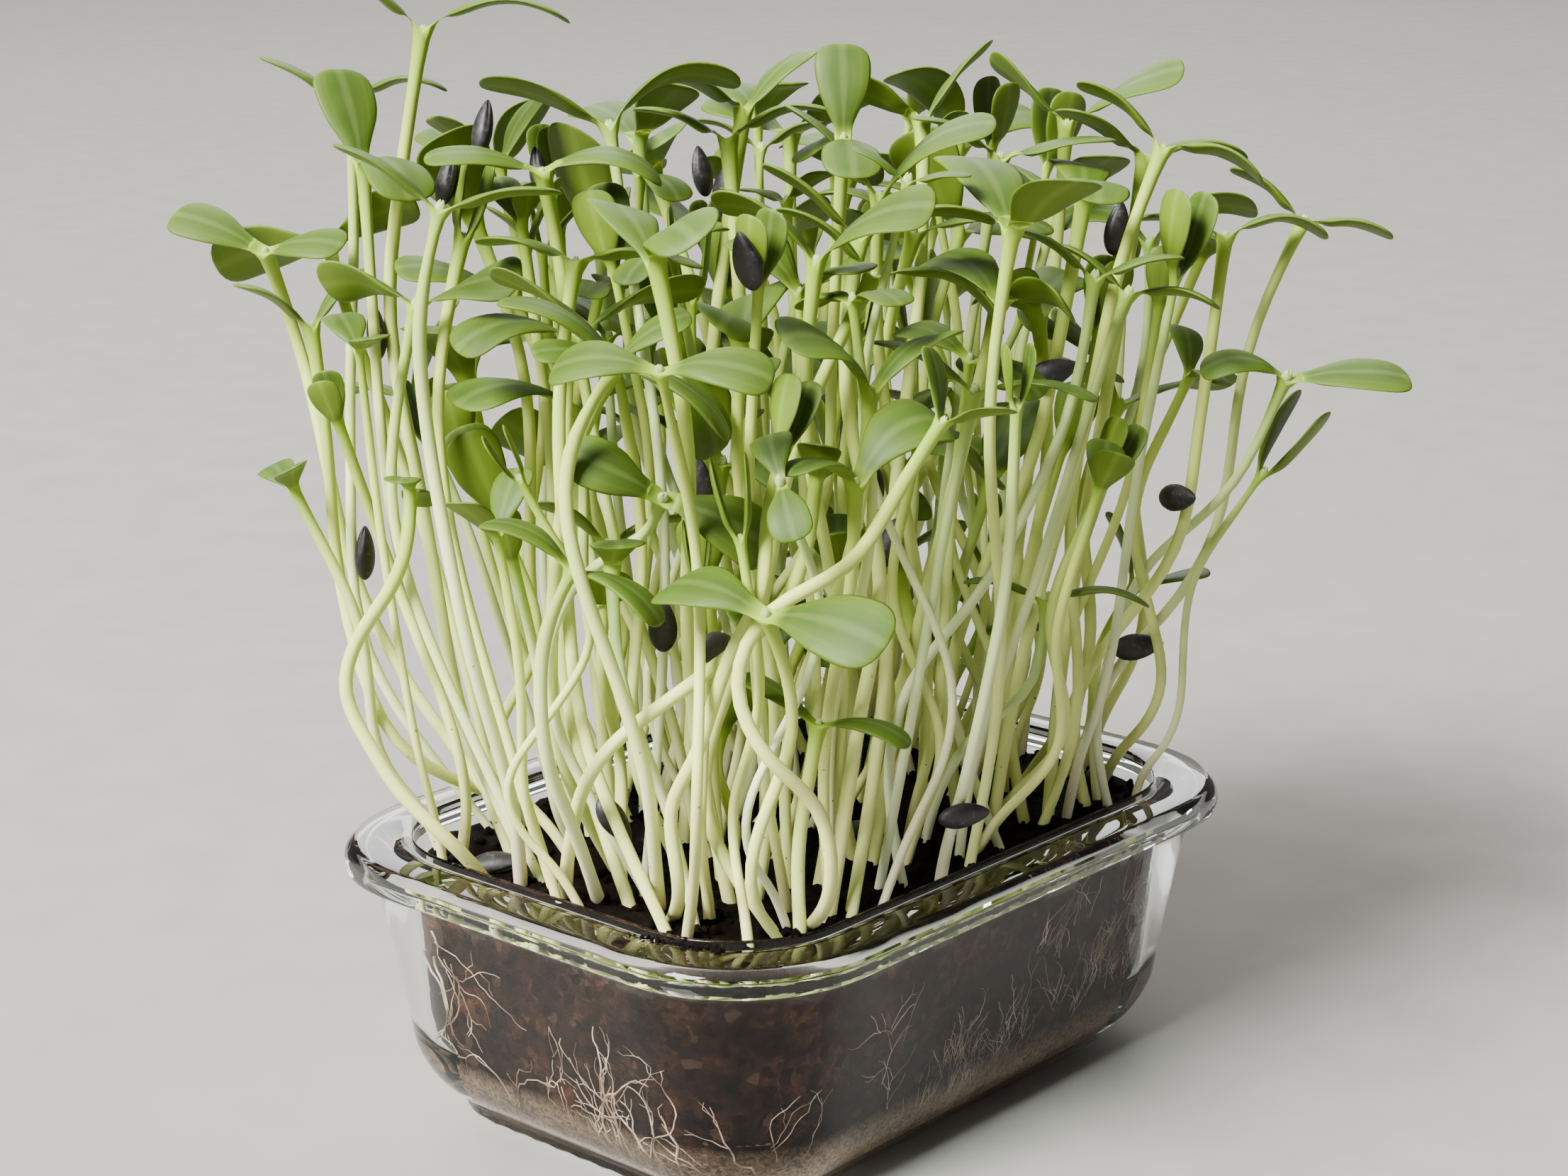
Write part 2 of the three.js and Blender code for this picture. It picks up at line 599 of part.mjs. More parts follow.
/** Whether a seedling stays clear of the dish, the soil and its neighbours. */
function isClear(feelers, slot) {
  return feelers.every(([point, reach]) => {
    const fromSlot = Math.hypot(point.x - slot.x, point.y - slot.y);
    const low = point.z < soilHeight(point.x, point.y) + reach + SOIL_CLEARANCE;
    if (low && fromSlot > FOOT_ROOM) {
      return false;
    }
    const besideRim = point.z < DISH_HEIGHT + reach + CLEARANCE;
    if (besideRim && roomInsideRim(point) < reach + CLEARANCE) {
      return false;
    }
    let clear = true;
    eachCellNear(point, (others) => {
      for (const [other, otherReach] of others) {
        clear = clear && point.distanceTo(other) > reach + otherReach + CLEARANCE;
      }
    });
    return clear;
  });
}

/** Tries plans until one stands clear, and books its place. */
function plant(slot, makePlan, tries) {
  for (let attempt = 0; attempt < tries; attempt++) {
    const seedling = shapeSeedling({ slot, roll: 0, ...makePlan(attempt / tries) });
    const feelers = feelersOf(seedling);
    if (isClear(feelers, slot)) {
      occupy(feelers);
      return { ...seedling, plug: slot.plug };
    }
  }
  return null;
}

// How far a told seedling may be moved, across, back and up, and turned in degrees
const TOLD_SHIFT = [4.5, 18, 3.6];
const TOLD_TURN = 40;
const LONG_ROUTE = 4;
const TOLD_TRIES = 120;

/** A told seedling's plan, moved further the harder it is to place. */
function toldPlan(told, effort) {
  return {
    bends: told.route.slice(1).map((place) => fromRoute(
      place.map((value, way) => value + between(-TOLD_SHIFT[way], TOLD_SHIFT[way]) * effort))),
    segments: told.route.length > LONG_ROUTE ? 6 : 4,
    points: THREE.MathUtils.degToRad(told.points + between(-TOLD_TURN, TOLD_TURN) * effort) + ROUTE_TURN,
    lean: told.lean ?? CAPPED_LEAN,
    leaves: told.leaves,
    roll: THREE.MathUtils.degToRad(told.roll ?? 0),
    capped: told.capped,
  };
}

/** The told seedlings, moved a little where they would touch. */
function plantTold(slots) {
  const planted = [];
  for (const told of TOLD_SEEDLINGS) {
    const foot = fromRoute([...told.route[0], 0]);
    for (const slot of nearestSlots(slots, foot)) {
      const seedling = plant(slot, (effort) => toldPlan(told, effort), TOLD_TRIES);
      if (seedling) {
        planted.push(seedling);
        slots.splice(slots.indexOf(slot), 1);
        break;
      }
    }
  }
  return planted;
}

// Storeys of the crowd: share of the seedlings, fork heights and leaf lengths.
const STOREYS = [
  { share: 0.55, low: 172, high: 210, leaf: [23, 31] },
  { share: 0.83, low: 130, high: 175, leaf: [20, 28] },
  { share: 1, low: 84, high: 130, leaf: [15, 21] },
];
const CAPPED_HEIGHT = 180;
const SEEDLINGS_PER_CAPPED = 9;
const CROWD_TRIES = 160;
const CROWN_REACH = 96;
const SPREAD = 0.4;

// How a shoot of the crowd grows: a tall one this much above the soil, the most that it may be
// lowered to fit, its head's wander, its sway and the waves in it, and how early it leans out
const TALL_STEM = 150;
const MOST_LOWERING = 45;
const WANDER = 6;
const TALL_WANDER = 18;
const SWAY = [4, 15];
const WAVES = [0.6, 1.15];
const EARLINESS = [0.65, 1.5];
const BEND_SHARES = [0.2, 0.4, 0.6, 0.8];
const CROWD_SEGMENTS = 5;

// How its leaves open, in degrees from the stem, and how far the second differs from the first
const ROOT_LEAN = [18, 60];
const TIP_LEAN = [55, 130];
const ROOT_LEAN_CHANGE = 8;
const TIP_LEAN_CHANGE = 25;
const LEAF_ROLL = 0.75;
const CAPPED_LEAVES = [17, 17];

/** A plan drawn at random for a seedling of the crowd. */
function crowdPlan(slot, storey, capped, effort) {
  const drawn = between(storey.low, storey.high) - MOST_LOWERING * effort * random();
  const height = capped ? Math.min(drawn, CAPPED_HEIGHT) : drawn;
  const tallness = (height - SOIL_LEVEL) / TALL_STEM;
  const wander = WANDER + TALL_WANDER * tallness;
  const foot = new THREE.Vector3(slot.x, slot.y, SOIL_LEVEL);
  const head = new THREE.Vector3(
    slot.x * (1 + SPREAD * tallness) + between(-wander, wander),
    slot.y * (1 + SPREAD * tallness) + between(-wander, wander),
    0,
  ).clampLength(0, CROWN_REACH).setZ(height);
  const swayWay = between(0, 2 * Math.PI);
  const sway = between(...SWAY) * tallness;
  const waves = between(...WAVES);
  const earliness = between(...EARLINESS);
  const bends = BEND_SHARES.map((share) => {
    const bend = foot.clone().lerp(head, share ** earliness);
    const aside = sway * Math.sin(2 * Math.PI * waves * share) * (1 - share ** 4);
    bend.x += aside * Math.cos(swayWay);
    bend.y += aside * Math.sin(swayWay);
    return bend.setZ(THREE.MathUtils.lerp(foot.z, head.z, share));
  });
  const rootLean = between(...ROOT_LEAN);
  const tipLean = between(...TIP_LEAN);
  const firstLeaf = [rootLean, tipLean];
  return {
    bends: [...bends, head],
    segments: CROWD_SEGMENTS,
    points: between(0, 2 * Math.PI),
    lean: capped ? CAPPED_LEAN : [
      ...firstLeaf,
      rootLean + between(-ROOT_LEAN_CHANGE, ROOT_LEAN_CHANGE),
      tipLean + between(-TIP_LEAN_CHANGE, TIP_LEAN_CHANGE),
    ],
    leaves: capped ? CAPPED_LEAVES : [between(...storey.leaf), between(...storey.leaf)],
    roll: capped ? 0 : between(-LEAF_ROLL, LEAF_ROLL),
    capped,
  };
}

function plantCrowd(slots) {
  const planted = [];
  for (const [index, slot] of slots.entries()) {
    const draw = random();
    const storey = STOREYS.find(({ share }) => draw < share);
    const capped = index % SEEDLINGS_PER_CAPPED === 4;
    const seedling = plant(slot, (effort) => crowdPlan(slot, storey, capped, effort), CROWD_TRIES);
    if (seedling) {
      planted.push(seedling);
    }
  }
  return planted;
}

// Share of the hull's length, and how full it is there
const HULL_STATIONS = [[0.15, 0.52], [0.45, 1], [0.84, 0.66]];
const HULL_SIDES = 6;

/** A seed hull: a long almond, pointed at its foot, flatter than it is wide. */
function hullBody(foot, heading, flatWay) {
  const thin = heading.clone().cross(flatWay).normalize();
  const wide = thin.clone().cross(heading).normalize();
  const loops = HULL_STATIONS.map(([share, size]) => {
    const loop = [];
    for (let side = 0; side < HULL_SIDES; side++) {
      const angle = side / HULL_SIDES * 2 * Math.PI;
      loop.push(foot.clone()
        .addScaledVector(heading, share * HULL_LENGTH)
        .addScaledVector(wide, size * HULL_WIDTH / 2 * Math.cos(angle))
        .addScaledVector(thin, size * HULL_THICKNESS / 2 * Math.sin(angle)));
    }
    return loop;
  });
  const body = loft(loops);
  body.points.at(-2).copy(foot);
  body.points.at(-1).copy(foot).addScaledVector(heading, HULL_LENGTH);
  return body;
}

const LOOSE_HULLS = 5;
const LOOSE_REACH_X = 64;
const LOOSE_REACH_Y = 44;
const OFF_PLUG = 0.5;

/** Hulls that have dropped off and lie on the soil between the plugs. */
function looseHulls(plugs, count) {
  const hulls = [];
  while (hulls.length < count) {
    const x = between(-LOOSE_REACH_X, LOOSE_REACH_X);
    const y = between(-LOOSE_REACH_Y, LOOSE_REACH_Y);
    const turn = between(0, 2 * Math.PI);
    const heading = new THREE.Vector3(Math.cos(turn), Math.sin(turn), 0);
    const spots = [0, 0.5, 1].map((share) => new THREE.Vector3(x, y, 0)
      .addScaledVector(heading, share * HULL_LENGTH));
    const ground = Math.max(...spots.map((spot) => soilHeight(spot.x, spot.y)));
    const level = ground + HULL_THICKNESS / 2 + 2 * GAP;
    spots.forEach((spot) => spot.setZ(level));
    const offPlugs = spots.every((spot) => plugs.every((plug) => (
      Math.hypot(spot.x - plug.x, spot.y - plug.y) > PLUG_TOP_RADIUS + HULL_WIDTH / 2 + OFF_PLUG)));
    const feelers = spots.map((spot) => [spot, HULL_WIDTH / 2]);
    const inTheOpen = feelers.every(([spot, reach]) => {
      let clear = true;
      eachCellNear(spot, (others) => {
        for (const [other, otherReach] of others) {
          clear = clear && spot.distanceTo(other) > reach + otherReach + CLEARANCE;
        }
      });
      return clear;
    });
    if (offPlugs && inTheOpen) {
      occupy(feelers);
      hulls.push(solid(hullBody(spots[0], heading, new THREE.Vector3(0, 0, 1).cross(heading))));
    }
  }
  return hulls;
}

/** A point half way between soil and glass, part way round a level loop. */
function rootPoint(level, around) {
  const [inset, z] = level;
  const loop = dishLoop(inset, z);
  const place = ((around % 1) + 1) % 1 * loop.length;
  const index = Math.floor(place);
  return loop[index].clone().lerp(loop[(index + 1) % loop.length], place - index);
}

/** The roots against the glass: one that circles the heel, and those above it. */
function rootNet() {
  const wallInset = INNER_FOOT + ROOT_ROOM / 2;
  const levels = heelProfile(wallInset, INNER_REACH - ROOT_ROOM / 2, FLOOR + GAP / 2).slice(2);
  for (const z of ROOT_LEVELS) {
    levels.push([innerInset(z) + ROOT_ROOM / 2, z]);
  }
  const circling = ringRoot(levels[1]);
  const bodies = [circling];
  for (let strand = 0; strand < ROOT_STRANDS; strand++) {
    const start = (strand + between(0.1, 0.9)) / ROOT_STRANDS;
    const height = 3 + Math.floor(between(0, levels.length - 2));
    const drift = between(-ROOT_DRIFT, ROOT_DRIFT);
    const path = levels.slice(0, height).map((level, index) => (
      rootPoint(level, start + drift * index + between(-ROOT_WANDER, ROOT_WANDER))));
    bodies.push(strandBody(path));
  }
  return fuse(bodies);
}

/** A root that runs once round the dish at one level. */
function ringRoot(level) {
  const middle = dishLoop(...level);
  const inner = dishLoop(level[0] + ROOT_THICKNESS / 2, level[1]);
  const outer = dishLoop(level[0] - ROOT_THICKNESS / 2, level[1]);
  const half = new THREE.Vector3(0, 0, ROOT_WIDTH / 2);
  const count = middle.length;
  const points = [];
  for (let i = 0; i < count; i++) {
    points.push(outer[i], middle[i].clone().add(half), inner[i], middle[i].clone().sub(half));
  }
  const faces = [];
  for (let i = 0; i < count; i++) {
    for (let corner = 0; corner < 4; corner++) {
      const next = (corner + 1) % 4;
      const here = 4 * i;
      const ahead = 4 * ((i + 1) % count);
      faces.push(...quad(here + next, here + corner, ahead + corner, ahead + next));
    }
  }
  return { points, faces };
}

/** A flat four-sided root along a path up the glass. */
function strandBody(path) {
  const loops = path.map((point, index) => {
    const above = path[Math.min(index + 1, path.length - 1)];
    const below = path[Math.max(index - 1, 0)];
    const heading = above.clone().sub(below).normalize();
    const taper = 1 - ROOT_TAPER * index / path.length;
    const flat = outwardOf(point);
    const side = heading.clone().cross(flat).normalize();
    return [
      point.clone().addScaledVector(flat, ROOT_THICKNESS / 2 * taper),
      point.clone().addScaledVector(side, ROOT_WIDTH / 2 * taper),
      point.clone().addScaledVector(flat, -ROOT_THICKNESS / 2 * taper),
      point.clone().addScaledVector(side, -ROOT_WIDTH / 2 * taper),
    ];
  });
  return loft(loops);
}

/** The way out through the nearest wall of the dish. */
function outwardOf(point) {
  const radius = CORNER_RADIUS - CORNER_TIGHTENING * INNER_FOOT;
  const cornerX = DISH_LENGTH / 2 - INNER_FOOT - radius;
  const cornerY = DISH_WIDTH / 2 - INNER_FOOT - radius;
  const x = Math.sign(point.x) * Math.max(0, Math.abs(point.x) - cornerX);
  const y = Math.sign(point.y) * Math.max(0, Math.abs(point.y) - cornerY);
  return new THREE.Vector3(x, y, 0).normalize();
}

const plugs = plugPlaces();
const slots = stemSlots(plugs);
const seedlings = [...plantTold(slots), ...plantCrowd(slots)];

const tray = new THREE.Group();
tray.add(piece('glass_dish', glassDish(), GLASS));
tray.add(piece('soil', soilBlock(plugs), SOIL));
tray.add(piece('wall_roots', rootNet(), ROOTS));

plugs.forEach((plug, index) => {
  const stems = seedlings.filter((seedling) => seedling.plug === index);
  const number = String(index + 1).padStart(2, '0');
  tray.add(piece(`seedlings_${number}`, solid(bunchBody(plug, stems)), SEEDLING));
});

const cappedHulls = seedlings.filter((seedling) => seedling.capped).map(({ leaves, rise, out }) => (
  solid(hullBody(capFoot(leaves, rise), rise, rise.clone().cross(out)))));
const hulls = [...cappedHulls, ...looseHulls(plugs, LOOSE_HULLS)];
hulls.forEach((hull, index) => {
  tray.add(piece(`hull_${String(index + 1).padStart(2, '0')}`, hull, HULL));
});

export default tray;
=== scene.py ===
import math
import random

import bmesh
import bpy
import numpy as np
from mathutils import Matrix, Vector, noise
from mathutils.bvhtree import BVHTree
from mathutils.kdtree import KDTree


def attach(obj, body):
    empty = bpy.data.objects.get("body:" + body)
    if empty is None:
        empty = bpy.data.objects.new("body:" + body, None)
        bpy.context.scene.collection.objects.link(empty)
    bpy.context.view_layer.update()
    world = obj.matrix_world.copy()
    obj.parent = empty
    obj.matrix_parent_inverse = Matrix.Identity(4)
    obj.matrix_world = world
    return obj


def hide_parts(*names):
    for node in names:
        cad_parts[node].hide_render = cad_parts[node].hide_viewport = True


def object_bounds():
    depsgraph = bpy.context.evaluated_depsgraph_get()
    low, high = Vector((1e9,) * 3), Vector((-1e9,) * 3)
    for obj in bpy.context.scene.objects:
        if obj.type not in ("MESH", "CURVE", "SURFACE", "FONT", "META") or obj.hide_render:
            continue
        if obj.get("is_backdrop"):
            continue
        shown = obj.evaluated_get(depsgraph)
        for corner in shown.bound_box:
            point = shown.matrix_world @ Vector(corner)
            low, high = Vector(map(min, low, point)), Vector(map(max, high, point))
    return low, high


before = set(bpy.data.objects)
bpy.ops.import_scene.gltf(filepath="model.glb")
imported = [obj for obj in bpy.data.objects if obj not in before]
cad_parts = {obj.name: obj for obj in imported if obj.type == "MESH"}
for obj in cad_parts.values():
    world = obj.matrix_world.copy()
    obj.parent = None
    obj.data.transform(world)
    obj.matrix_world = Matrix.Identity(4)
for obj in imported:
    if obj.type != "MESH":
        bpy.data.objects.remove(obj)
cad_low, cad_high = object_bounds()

# ---- Glass dish ----
# A food dish of clear pressed soda-lime glass: a wide rounded rim, sloping walls and thick round heels.
# It is pressed in one piece and fire polished, so every edge is soft and the walls are faintly wavy.
# The CAD dish has the right sizes, so a copy of it is rounded through its own corners.

MM = 0.001
SAME_PLACE = 0.001 * MM
ANY_ANGLE = math.radians(180)
BOTTOM_MIDDLE, LEVEL_WITHIN = 1 * MM, 0.01 * MM
LONG_RIM_EDGE, RIM_EDGE_CUTS = 30 * MM, 7


def stand_alone(piece):
    """Selects one piece and nothing else, in object mode."""
    bpy.ops.object.select_all(action="DESELECT")
    piece.select_set(True)
    bpy.context.view_layer.objects.active = piece


def add_object(name, data):
    """A new object with that data, placed in the scene."""
    made = bpy.data.objects.new(name, data)
    bpy.context.scene.collection.objects.link(made)
    return made


def open_copy(node_name, name):
    """A copy of a CAD node with its loose triangles merged, left in edit mode with all selected."""
    piece = add_object(name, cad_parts[node_name].data.copy())
    piece.data.materials.clear()
    stand_alone(piece)
    bpy.ops.mesh.customdata_custom_splitnormals_clear()
    bpy.ops.object.mode_set(mode="EDIT")
    bpy.ops.mesh.select_all(action="SELECT")
    bpy.ops.mesh.remove_doubles(threshold=SAME_PLACE)
    return piece


def corners_of(mesh):
    """The places of a mesh's vertices, as rows."""
    places = np.empty(len(mesh.vertices) * 3)
    mesh.vertices.foreach_get("co", places)
    return places.reshape(-1, 3)


def round_off(piece, levels, passes=4):
    """Subdivides a cage, drawn out first so that the smooth skin still runs through its corners."""
    aim = corners_of(piece.data)
    cage = aim.copy()
    skin = piece.modifiers.new("Skin", "SUBSURF")
    skin.levels = skin.render_levels = 1
    for _ in range(passes):
        smooth = piece.evaluated_get(bpy.context.evaluated_depsgraph_get())
        cage += aim - corners_of(smooth.data)[:len(aim)]
        piece.data.vertices.foreach_set("co", cage.ravel())
        piece.data.update()
    skin.levels = skin.render_levels = levels
    bpy.ops.object.modifier_apply(modifier=skin.name)
    bpy.ops.object.shade_smooth()


def linear(code):
    """An sRGB hex colour as the linear colour that the shaders use."""
    channels = [int(code[start:start + 2], 16) / 255 for start in (1, 3, 5)]
    return [c / 12.92 if c <= 0.04045 else ((c + 0.055) / 1.055) ** 2.4 for c in channels] + [1]


def set_inputs(node, inputs):
    """Sets or links a node's inputs. A node that is given as a value stands for its first output."""
    for name, value in inputs.items():
        if isinstance(value, bpy.types.Node):
            value = value.outputs[0]
        if isinstance(value, bpy.types.NodeSocket):
            node.id_data.links.new(value, node.inputs[name])
        else:
            node.inputs[name].default_value = value


def add_node(tree, kind, inputs=None, stops=(), **settings):
    """Adds a shader node with its settings, its inputs and its colour stops."""
    made = tree.nodes.new("ShaderNode" + kind)
    for name, value in settings.items():
        setattr(made, name, value)
    set_inputs(made, inputs or {})
    for index, (place, code) in enumerate(stops):
        stop = made.color_ramp.elements[index] if index < 2 else made.color_ramp.elements.new(place)
        stop.position = place
        stop.color = linear(code)
    return made


def new_finish(name):
    """A new material, its node tree, its Principled shader and the places on the piece that wears it."""
    material = bpy.data.materials.new(name)
    material.use_nodes = True
    tree = material.node_tree
    place = add_node(tree, "TexCoord").outputs["Object"]
    return material, tree, tree.nodes["Principled BSDF"], place


def wear(piece, material):
    """Gives a finished piece its material and its slot, and lets it ride on the tray."""
    piece.data.materials.clear()
    piece.data.materials.append(material)
    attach(piece, "root")


# the fans at the middle of the bottom become whole faces, and the rim's straight edges get cuts
dish = open_copy("glass_dish", "pressed_glass_dish")
bpy.ops.mesh.tris_convert_to_quads(face_threshold=ANY_ANGLE, shape_threshold=ANY_ANGLE)
bpy.ops.mesh.select_all(action="DESELECT")
bpy.ops.mesh.select_mode(type="VERT")
cage = bmesh.from_edit_mesh(dish.data)
for corner in cage.verts:
    corner.select = corner.co.xy.length < BOTTOM_MIDDLE
cage.select_flush_mode()
bpy.ops.mesh.dissolve_verts()
bpy.ops.mesh.select_all(action="DESELECT")
bpy.ops.mesh.select_mode(type="EDGE")
cage = bmesh.from_edit_mesh(dish.data)
for edge in cage.edges:
    level = abs(edge.verts[0].co.z - edge.verts[1].co.z) < LEVEL_WITHIN
    edge.select = level and edge.calc_length() > LONG_RIM_EDGE
bpy.ops.mesh.subdivide(number_cuts=RIM_EDGE_CUTS)
bpy.ops.object.mode_set(mode="OBJECT")
round_off(dish, levels=2)

# Clear soda-lime glass, fire polished: a bright, sharply mirroring skin with a slow waviness that
# bends the reflections, and faint smears of dried water that dull it in places.
glass, tree, shader, place = new_finish("soda_lime_glass_fire_polished")
waves = add_node(tree, "TexNoise", {"Vector": place, "Scale": 1 / (24 * MM), "Detail": 1.0})
smears = add_node(tree, "TexNoise", {"Vector": place, "Scale": 1 / (9 * MM), "Detail": 5.0})
dulled = add_node(tree, "MapRange", {
    "Value": smears, "From Min": 0.5, "From Max": 0.8, "To Min": 0.01, "To Max": 0.09})
wavy = add_node(tree, "Bump", {"Height": waves, "Strength": 0.25, "Distance": 0.8 * MM})
set_inputs(shader, {
    "Base Color": linear("#f6fbf8"), "Roughness": dulled, "Normal": wavy, "IOR": 1.51,
    "Specular Tint": linear("#a0a2a2"), "Transmission Weight": 1})
lamps_pass = add_node(tree, "BsdfTransparent", {"Color": linear("#eef4f1")})
ray = add_node(tree, "LightPath").outputs["Is Shadow Ray"]
mixed = add_node(tree, "MixShader", {0: ray, 1: shader, 2: lamps_pass})
set_inputs(tree.nodes["Material Output"], {"Surface": mixed})

wear(dish, glass)
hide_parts("glass_dish")
dish_skin = BVHTree.FromObject(dish, bpy.context.evaluated_depsgraph_get())

# ---- Potting soil ----
# A block of damp peat and coir potting soil that the dish has moulded, with a crumbly top.
# The plug holes of the CAD block are closed by its hull, and the whole is remeshed into crumbs.
# It rises to the feet of the stems on top. Along the walls and in one corner it is wet and sits
# against the glass with no air between them, so there its skin is let a little into the glass. In the
# other corners it has drawn back, and the thick glass shows clear at the dish's edges.

SOIL_GRAIN = 1.25 * MM
CLOD_SIZE, CRUMB_SIZE, LUMP_SIZE = 5.5 * MM, 2.2 * MM, 12 * MM
# how near to the glass soil is drawn to it, up to what height, and how far it is let in
WET_REACH, WET_TOP, INTO_GLASS = 2.2 * MM, 52 * MM, 0.2 * MM
# half the straight stretches of the dish's inner wall, and the radius of its corners
CORE_X, CORE_Y, CORE_RADIUS = 51 * MM, 30 * MM, 22 * MM
RAGGED_DEPTH, RAGGED_SIZE = 3 * MM, 6 * MM


def is_dry(spot):
    """True in the three corners where the soil has drawn back from the glass."""
    ragged = RAGGED_DEPTH * noise.noise(spot / RAGGED_SIZE)
    in_corner = min(abs(spot.x) - CORE_X, abs(spot.y) - CORE_Y) > ragged
    return in_corner and (spot.x > 0 or spot.y > 0)


soil = open_copy("soil", "potting_soil")
bpy.ops.mesh.convex_hull()
bpy.ops.object.mode_set(mode="OBJECT")
grain = soil.modifiers.new("Grain", "REMESH")
grain.mode = "VOXEL"
grain.voxel_size = SOIL_GRAIN
bpy.ops.object.modifier_apply(modifier=grain.name)
bpy.ops.object.shade_smooth()
# in mm, the skin swells into a loose heap on top and into pressed crumbs at the walls
soil_normals = [corner.normal.copy() for corner in soil.data.vertices]
for corner, normal in zip(soil.data.vertices, soil_normals):
    upward = max(0.0, min(1.0, (normal.z - 0.25) * 2))
    downward = normal.z < -0.5
    clod = 1 - noise.voronoi(corner.co / CLOD_SIZE)[0][0]
    crumb = 1 - noise.voronoi(corner.co / CRUMB_SIZE)[0][0]
    rough = noise.fractal(corner.co / LUMP_SIZE, 1, 2, 3)
    heap = 0.2 + 1.3 * clod + 0.9 * crumb + 0.8 * rough
    pressed = min(1.35, 0.35 + 0.55 * clod + 0.45 * crumb)
    swell = upward * heap + (1 - upward) * pressed
    corner.co += normal * (0 if downward else swell * MM)
    wall, toward_soil, _, distance = dish_skin.find_nearest(corner.co)
    if distance < WET_REACH and corner.co.z < WET_TOP + rough * MM and not is_dry(corner.co):
        corner.co = wall - toward_soil * INTO_GLASS
soil.data.update()

# Damp peat with coir: dark red-brown, mottled from near black to rust by crumbs of all sizes,
# with a few pale specks, a tan mat of roots at its foot and a soaked, almost black top, and matt.
peat, tree, shader, place = new_finish("peat_and_coir_damp")
warp = add_node(tree, "TexNoise", {
    "Vector": place, "Scale": 1 / (3 * MM), "Detail": 3.0}).outputs["Color"]
warped = add_node(tree, "VectorMath", {0: warp, 1: (2.2 * MM,) * 3, 2: place}, operation="MULTIPLY_ADD")
patches = add_node(tree, "TexNoise", {
    "Vector": warped, "Scale": 1 / (13 * MM), "Detail": 7.0, "Roughness": 0.72})
brown = add_node(tree, "ValToRGB", {"Fac": patches}, stops=[
    (0.33, "#080403"), (0.7, "#362013"), (0.52, "#180d08")])
crumbs = add_node(tree, "TexVoronoi", {"Vector": warped, "Scale": 1 / (2.4 * MM)}).outputs["Color"]
crumb_tone = add_node(tree, "SeparateColor", {"Color": crumbs})
fine = add_node(tree, "TexNoise", {
    "Vector": warped, "Scale": 1 / (0.9 * MM), "Detail": 5.0, "Roughness": 0.7})
crumb_light = add_node(tree, "MapRange", {"Value": crumb_tone, "To Min": 0.35, "To Max": 1.7})
fine_light = add_node(tree, "MapRange", {
    "Value": fine, "From Min": 0.3, "From Max": 0.7, "To Min": 0.45, "To Max": 1.6})
lit = add_node(tree, "Math", {0: crumb_light, 1: fine_light}, operation="MULTIPLY")
varied = add_node(tree, "VectorMath", {0: brown, "Scale": lit}, operation="SCALE")
pale_cell = add_node(tree, "MapRange", {
    "Value": crumb_tone, "From Min": 0.97, "From Max": 0.985, "To Max": 0.04})
flecked = add_node(tree, "MixRGB", {"Fac": pale_cell, "Color1": varied, "Color2": linear("#8d7862")})
height = add_node(tree, "SeparateXYZ", {"Vector": warped}).outputs["Z"]
matted = add_node(tree, "MapRange", {
    "Value": height, "From Min": 19 * MM, "From Max": 10 * MM, "To Max": 1.2})
strands = add_node(tree, "TexNoise", {
    "Vector": warped, "Scale": 1 / (1.6 * MM), "Detail": 3.0, "Distortion": 2.0})
streaky = add_node(tree, "MapRange", {
    "Value": strands, "From Min": 0.38, "From Max": 0.62, "To Min": 0.2, "To Max": 0.75})
mat = add_node(tree, "Math", {0: matted, 1: streaky}, operation="MULTIPLY")
rooted = add_node(tree, "MixRGB", {"Fac": mat, "Color1": flecked, "Color2": linear("#bfa184")})
wetness = add_node(tree, "MapRange", {
    "Value": height, "From Min": 53 * MM, "From Max": 58 * MM, "To Max": 0.85})
soaked = add_node(tree, "MixRGB", {"Fac": wetness, "Color1": rooted, "Color2": linear("#090605")})
damp = add_node(tree, "MapRange", {"Value": patches, "To Min": 0.6, "To Max": 1.0})
crumbly = add_node(tree, "Bump", {"Height": patches, "Strength": 0.8, "Distance": 3 * MM})
gritty = add_node(tree, "Bump", {
    "Height": fine, "Normal": crumbly, "Strength": 0.8, "Distance": 0.8 * MM})
set_inputs(shader, {
    "Base Color": soaked, "Roughness": damp, "Normal": gritty, "Specular IOR Level": 0.04})

wear(soil, peat)
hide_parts("soil")

# ---- Roots against the glass ----
# Young sunflower roots that have met the glass and branch along it, 0.2 to 1 mm thick.
# Each one wanders over the inner wall as a thin tube, thickest where it starts.
# Stout ones curl up round the near corner, long ones hang at its left, fine ones stand on its right.

ROOT_STEP = 1.7 * MM
ROOT_FLOOR, ROOT_TOP = 8.5 * MM, 52 * MM
KINK, STRAIGHTENING = 0.33, 0.3
ROOT_TAPER = 0.65
DRY_GAP = 0.1 * MM
FACE_X, FACE_Y, ARC = 2 * CORE_X, 2 * CORE_Y, CORE_RADIUS * math.pi / 2
GIRTH = 2 * (FACE_X + FACE_Y + 2 * ARC)

draw = random.Random(11)


